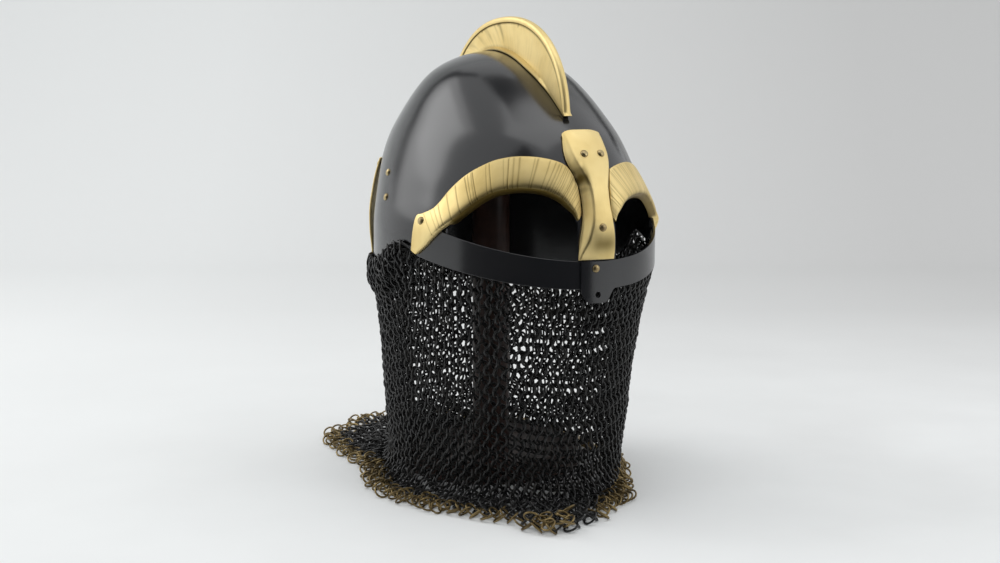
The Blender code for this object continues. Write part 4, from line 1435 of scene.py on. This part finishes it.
@dataclass
class Studio:
    """Pale sweep, soft lights and the camera."""

    azimuth: float = 28.0
    pitch: float = 7.2
    distance: float = 1.0
    shift: float = 0.0068
    height: float = 0.266
    lens: float = 47.88
    sensor: float = 36.0
    bend: float = 0.6
    near_half_width: float = 6.0
    wall_half_widths: Pair = (1.75, 1.15)
    wall_from: float = 0.95
    # Painted light and shade of the sweep: lighter on the left, darker on the right and on the wall.
    floor_left: Triple = (0.84, 0.855, 0.85)
    floor_right: Triple = (0.84, 0.85, 0.848)
    wall_left: Triple = (0.78, 0.79, 0.785)
    wall_right: Triple = (0.62, 0.62, 0.615)
    room: Triple = (0.84, 0.85, 0.86)
    card_colour: Triple = (0.01, 0.01, 0.01)
    light_target: Triple = (0.0, -0.02, 0.2)
    card_middle: Triple = (0.0, -0.02, 0.25)

    @property
    def axes(self) -> tuple[Vector, Vector]:
        """Level directions away from the camera and to its right."""
        turn = math.radians(self.azimuth)
        return Vector((math.sin(turn), math.cos(turn), 0.0)), Vector((math.cos(turn), -math.sin(turn), 0.0))

    def camera(self) -> None:
        """Place the camera at the photograph's viewing angle."""
        away, right = self.axes
        thing = linked("camera", bpy.data.cameras.new("camera"))
        thing.data.lens = self.lens
        thing.data.sensor_width = self.sensor
        thing.location = right * self.shift - away * self.distance + UP * self.height
        thing.rotation_euler = (math.radians(90.0 - self.pitch), 0.0, math.radians(-self.azimuth))
        bpy.context.scene.camera = thing

    def sweep(self) -> None:
        """Make the pale floor that runs up into a wall behind the helmet."""
        away, right = self.axes
        mesh = bmesh.new()
        profile = [(-6.0, 0.0), (0.9, 0.0)]
        for step in range(1, 16):
            turn = math.radians(6.0 * step)
            profile.append((1.2 + self.bend * math.sin(turn), self.bend * (1.0 - math.cos(turn))))
        profile.append((1.8, 2.2))
        line = [mesh.verts.new(away * along + UP * height) for along, height in profile]
        made = bmesh.ops.extrude_edge_only(mesh, edges=[mesh.edges.new(pair) for pair in zip(line, line[1:])])
        new = [item for item in made["geom"] if isinstance(item, bmesh.types.BMVert)]
        for vertices, sign, narrow in zip((line, new), (-1.0, 1.0), self.wall_half_widths):
            for vertex in vertices:
                near = vertex.co.dot(away) < self.wall_from
                vertex.co += right * sign * (self.near_half_width if near else narrow)
        floor = shown("floor", mesh, sharp=80.0)
        material, nodes, shader = new_material("pale_sweep")
        place = nodes.add("TexCoord").outputs["Object"]
        cloud = nodes.add(
            "Group", {"Vector": place, "Scale": 5.0, "Low": 0.3, "High": 0.75}, node_tree=CLOUDS,
        )

        def fade(way: Vector, start: float, end: float) -> Socket:
            """Mask from 0 to 1 between two distances along a direction."""
            along = nodes.add("VectorMath", {"0": place, "1": way}, operation="DOT_PRODUCT").outputs["Value"]
            return nodes.add(
                "MapRange", {"Value": along, "From Min": start, "From Max": end},
            ).outputs["Result"]

        # Painted light: the sweep is lighter to the left and darker on the wall than on the floor, as the light
        # falls off.
        painted_light_leftness = fade(right, 0.75, -0.55)
        wall = nodes.blend(painted_light_leftness, self.wall_right, self.wall_left)
        ground = nodes.blend(painted_light_leftness, self.floor_right, self.floor_left)
        colour = nodes.blend(fade(away, 0.0, 0.8), ground, wall)
        dull = nodes.add("Math", {"0": cloud.outputs["Mask"], "1": 0.5}, operation="MULTIPLY").outputs[0]
        nodes.feed(shader, {
            "Base Color": nodes.blend(dull, colour, wall), "Roughness": 0.9, "Specular IOR Level": 0.0,
        })
        floor.data.materials.append(material)

    def way(self, azimuth: float, rise: float) -> Vector:
        """Direction from the helmet: azimuth 0 is towards the camera, more is to the photo's right."""
        away, right = self.axes
        turn, up = math.radians(azimuth), math.radians(rise)
        return (right * math.sin(turn) - away * math.cos(turn)) * math.cos(up) + UP * math.sin(up)

    def light(self, light: SoftLight) -> None:
        """Place one soft light."""
        way = self.way(light.azimuth, light.rise)
        thing = linked(light.name, bpy.data.lights.new(light.name, "AREA"))
        thing.data.shape = "RECTANGLE"
        thing.data.size, thing.data.size_y = light.size
        thing.data.energy = light.glow * math.pi * light.size[0] * light.size[1]
        thing.location = Vector(self.light_target) + way * light.far
        thing.rotation_euler = way.to_track_quat("Z", "Y").to_euler()

    def card(self, card: Card) -> None:
        """Place one card, which only reflections see."""
        mesh = bmesh.new()
        middle = Vector(self.card_middle)
        points = [mesh.verts.new(middle + self.way(*corner) * card.far) for corner in card.corners]
        bmesh.ops.contextual_create(mesh, geom=points)
        thing = shown("black_card", mesh)
        material, nodes, shader = new_material("black_card")
        nodes.feed(shader, {"Base Color": self.card_colour})
        thing.data.materials.append(material)
        thing.visible_camera = thing.visible_diffuse = thing.visible_shadow = False

    def world(self) -> None:
        """Bright, even room."""
        world = bpy.data.worlds.new("room")
        bpy.context.scene.world = world
        world.use_nodes = True
        Nodes(world.node_tree).feed(world.node_tree.nodes["Background"], {"Color": self.room})

    def build(self) -> None:
        """Make the studio."""
        bpy.context.scene.view_settings.view_transform = "Standard"
        self.camera()
        self.sweep()
        self.world()
        for light in LIGHTS:
            self.light(light)
        for card in CARDS:
            self.card(card)


def main() -> None:
    """Build every sub-assembly in order."""
    carriers = {"skull": SkullShell().build()}
    carriers.update(VisorBand().build())
    nasal = NasalPlate()
    carriers["nasal"] = nasal.build()
    BrassCrest().build()
    for side in Side:
        carriers[f"brow_{side.word}"] = BrassBrow(side, nasal).build()
        carriers[f"strip_{side.word}"] = TempleStrip(side).build()
    Rivets().build(carriers)
    Mail().build()
    WoodenStand().build()
    Studio().build()


if __name__ == "__main__":
    main()
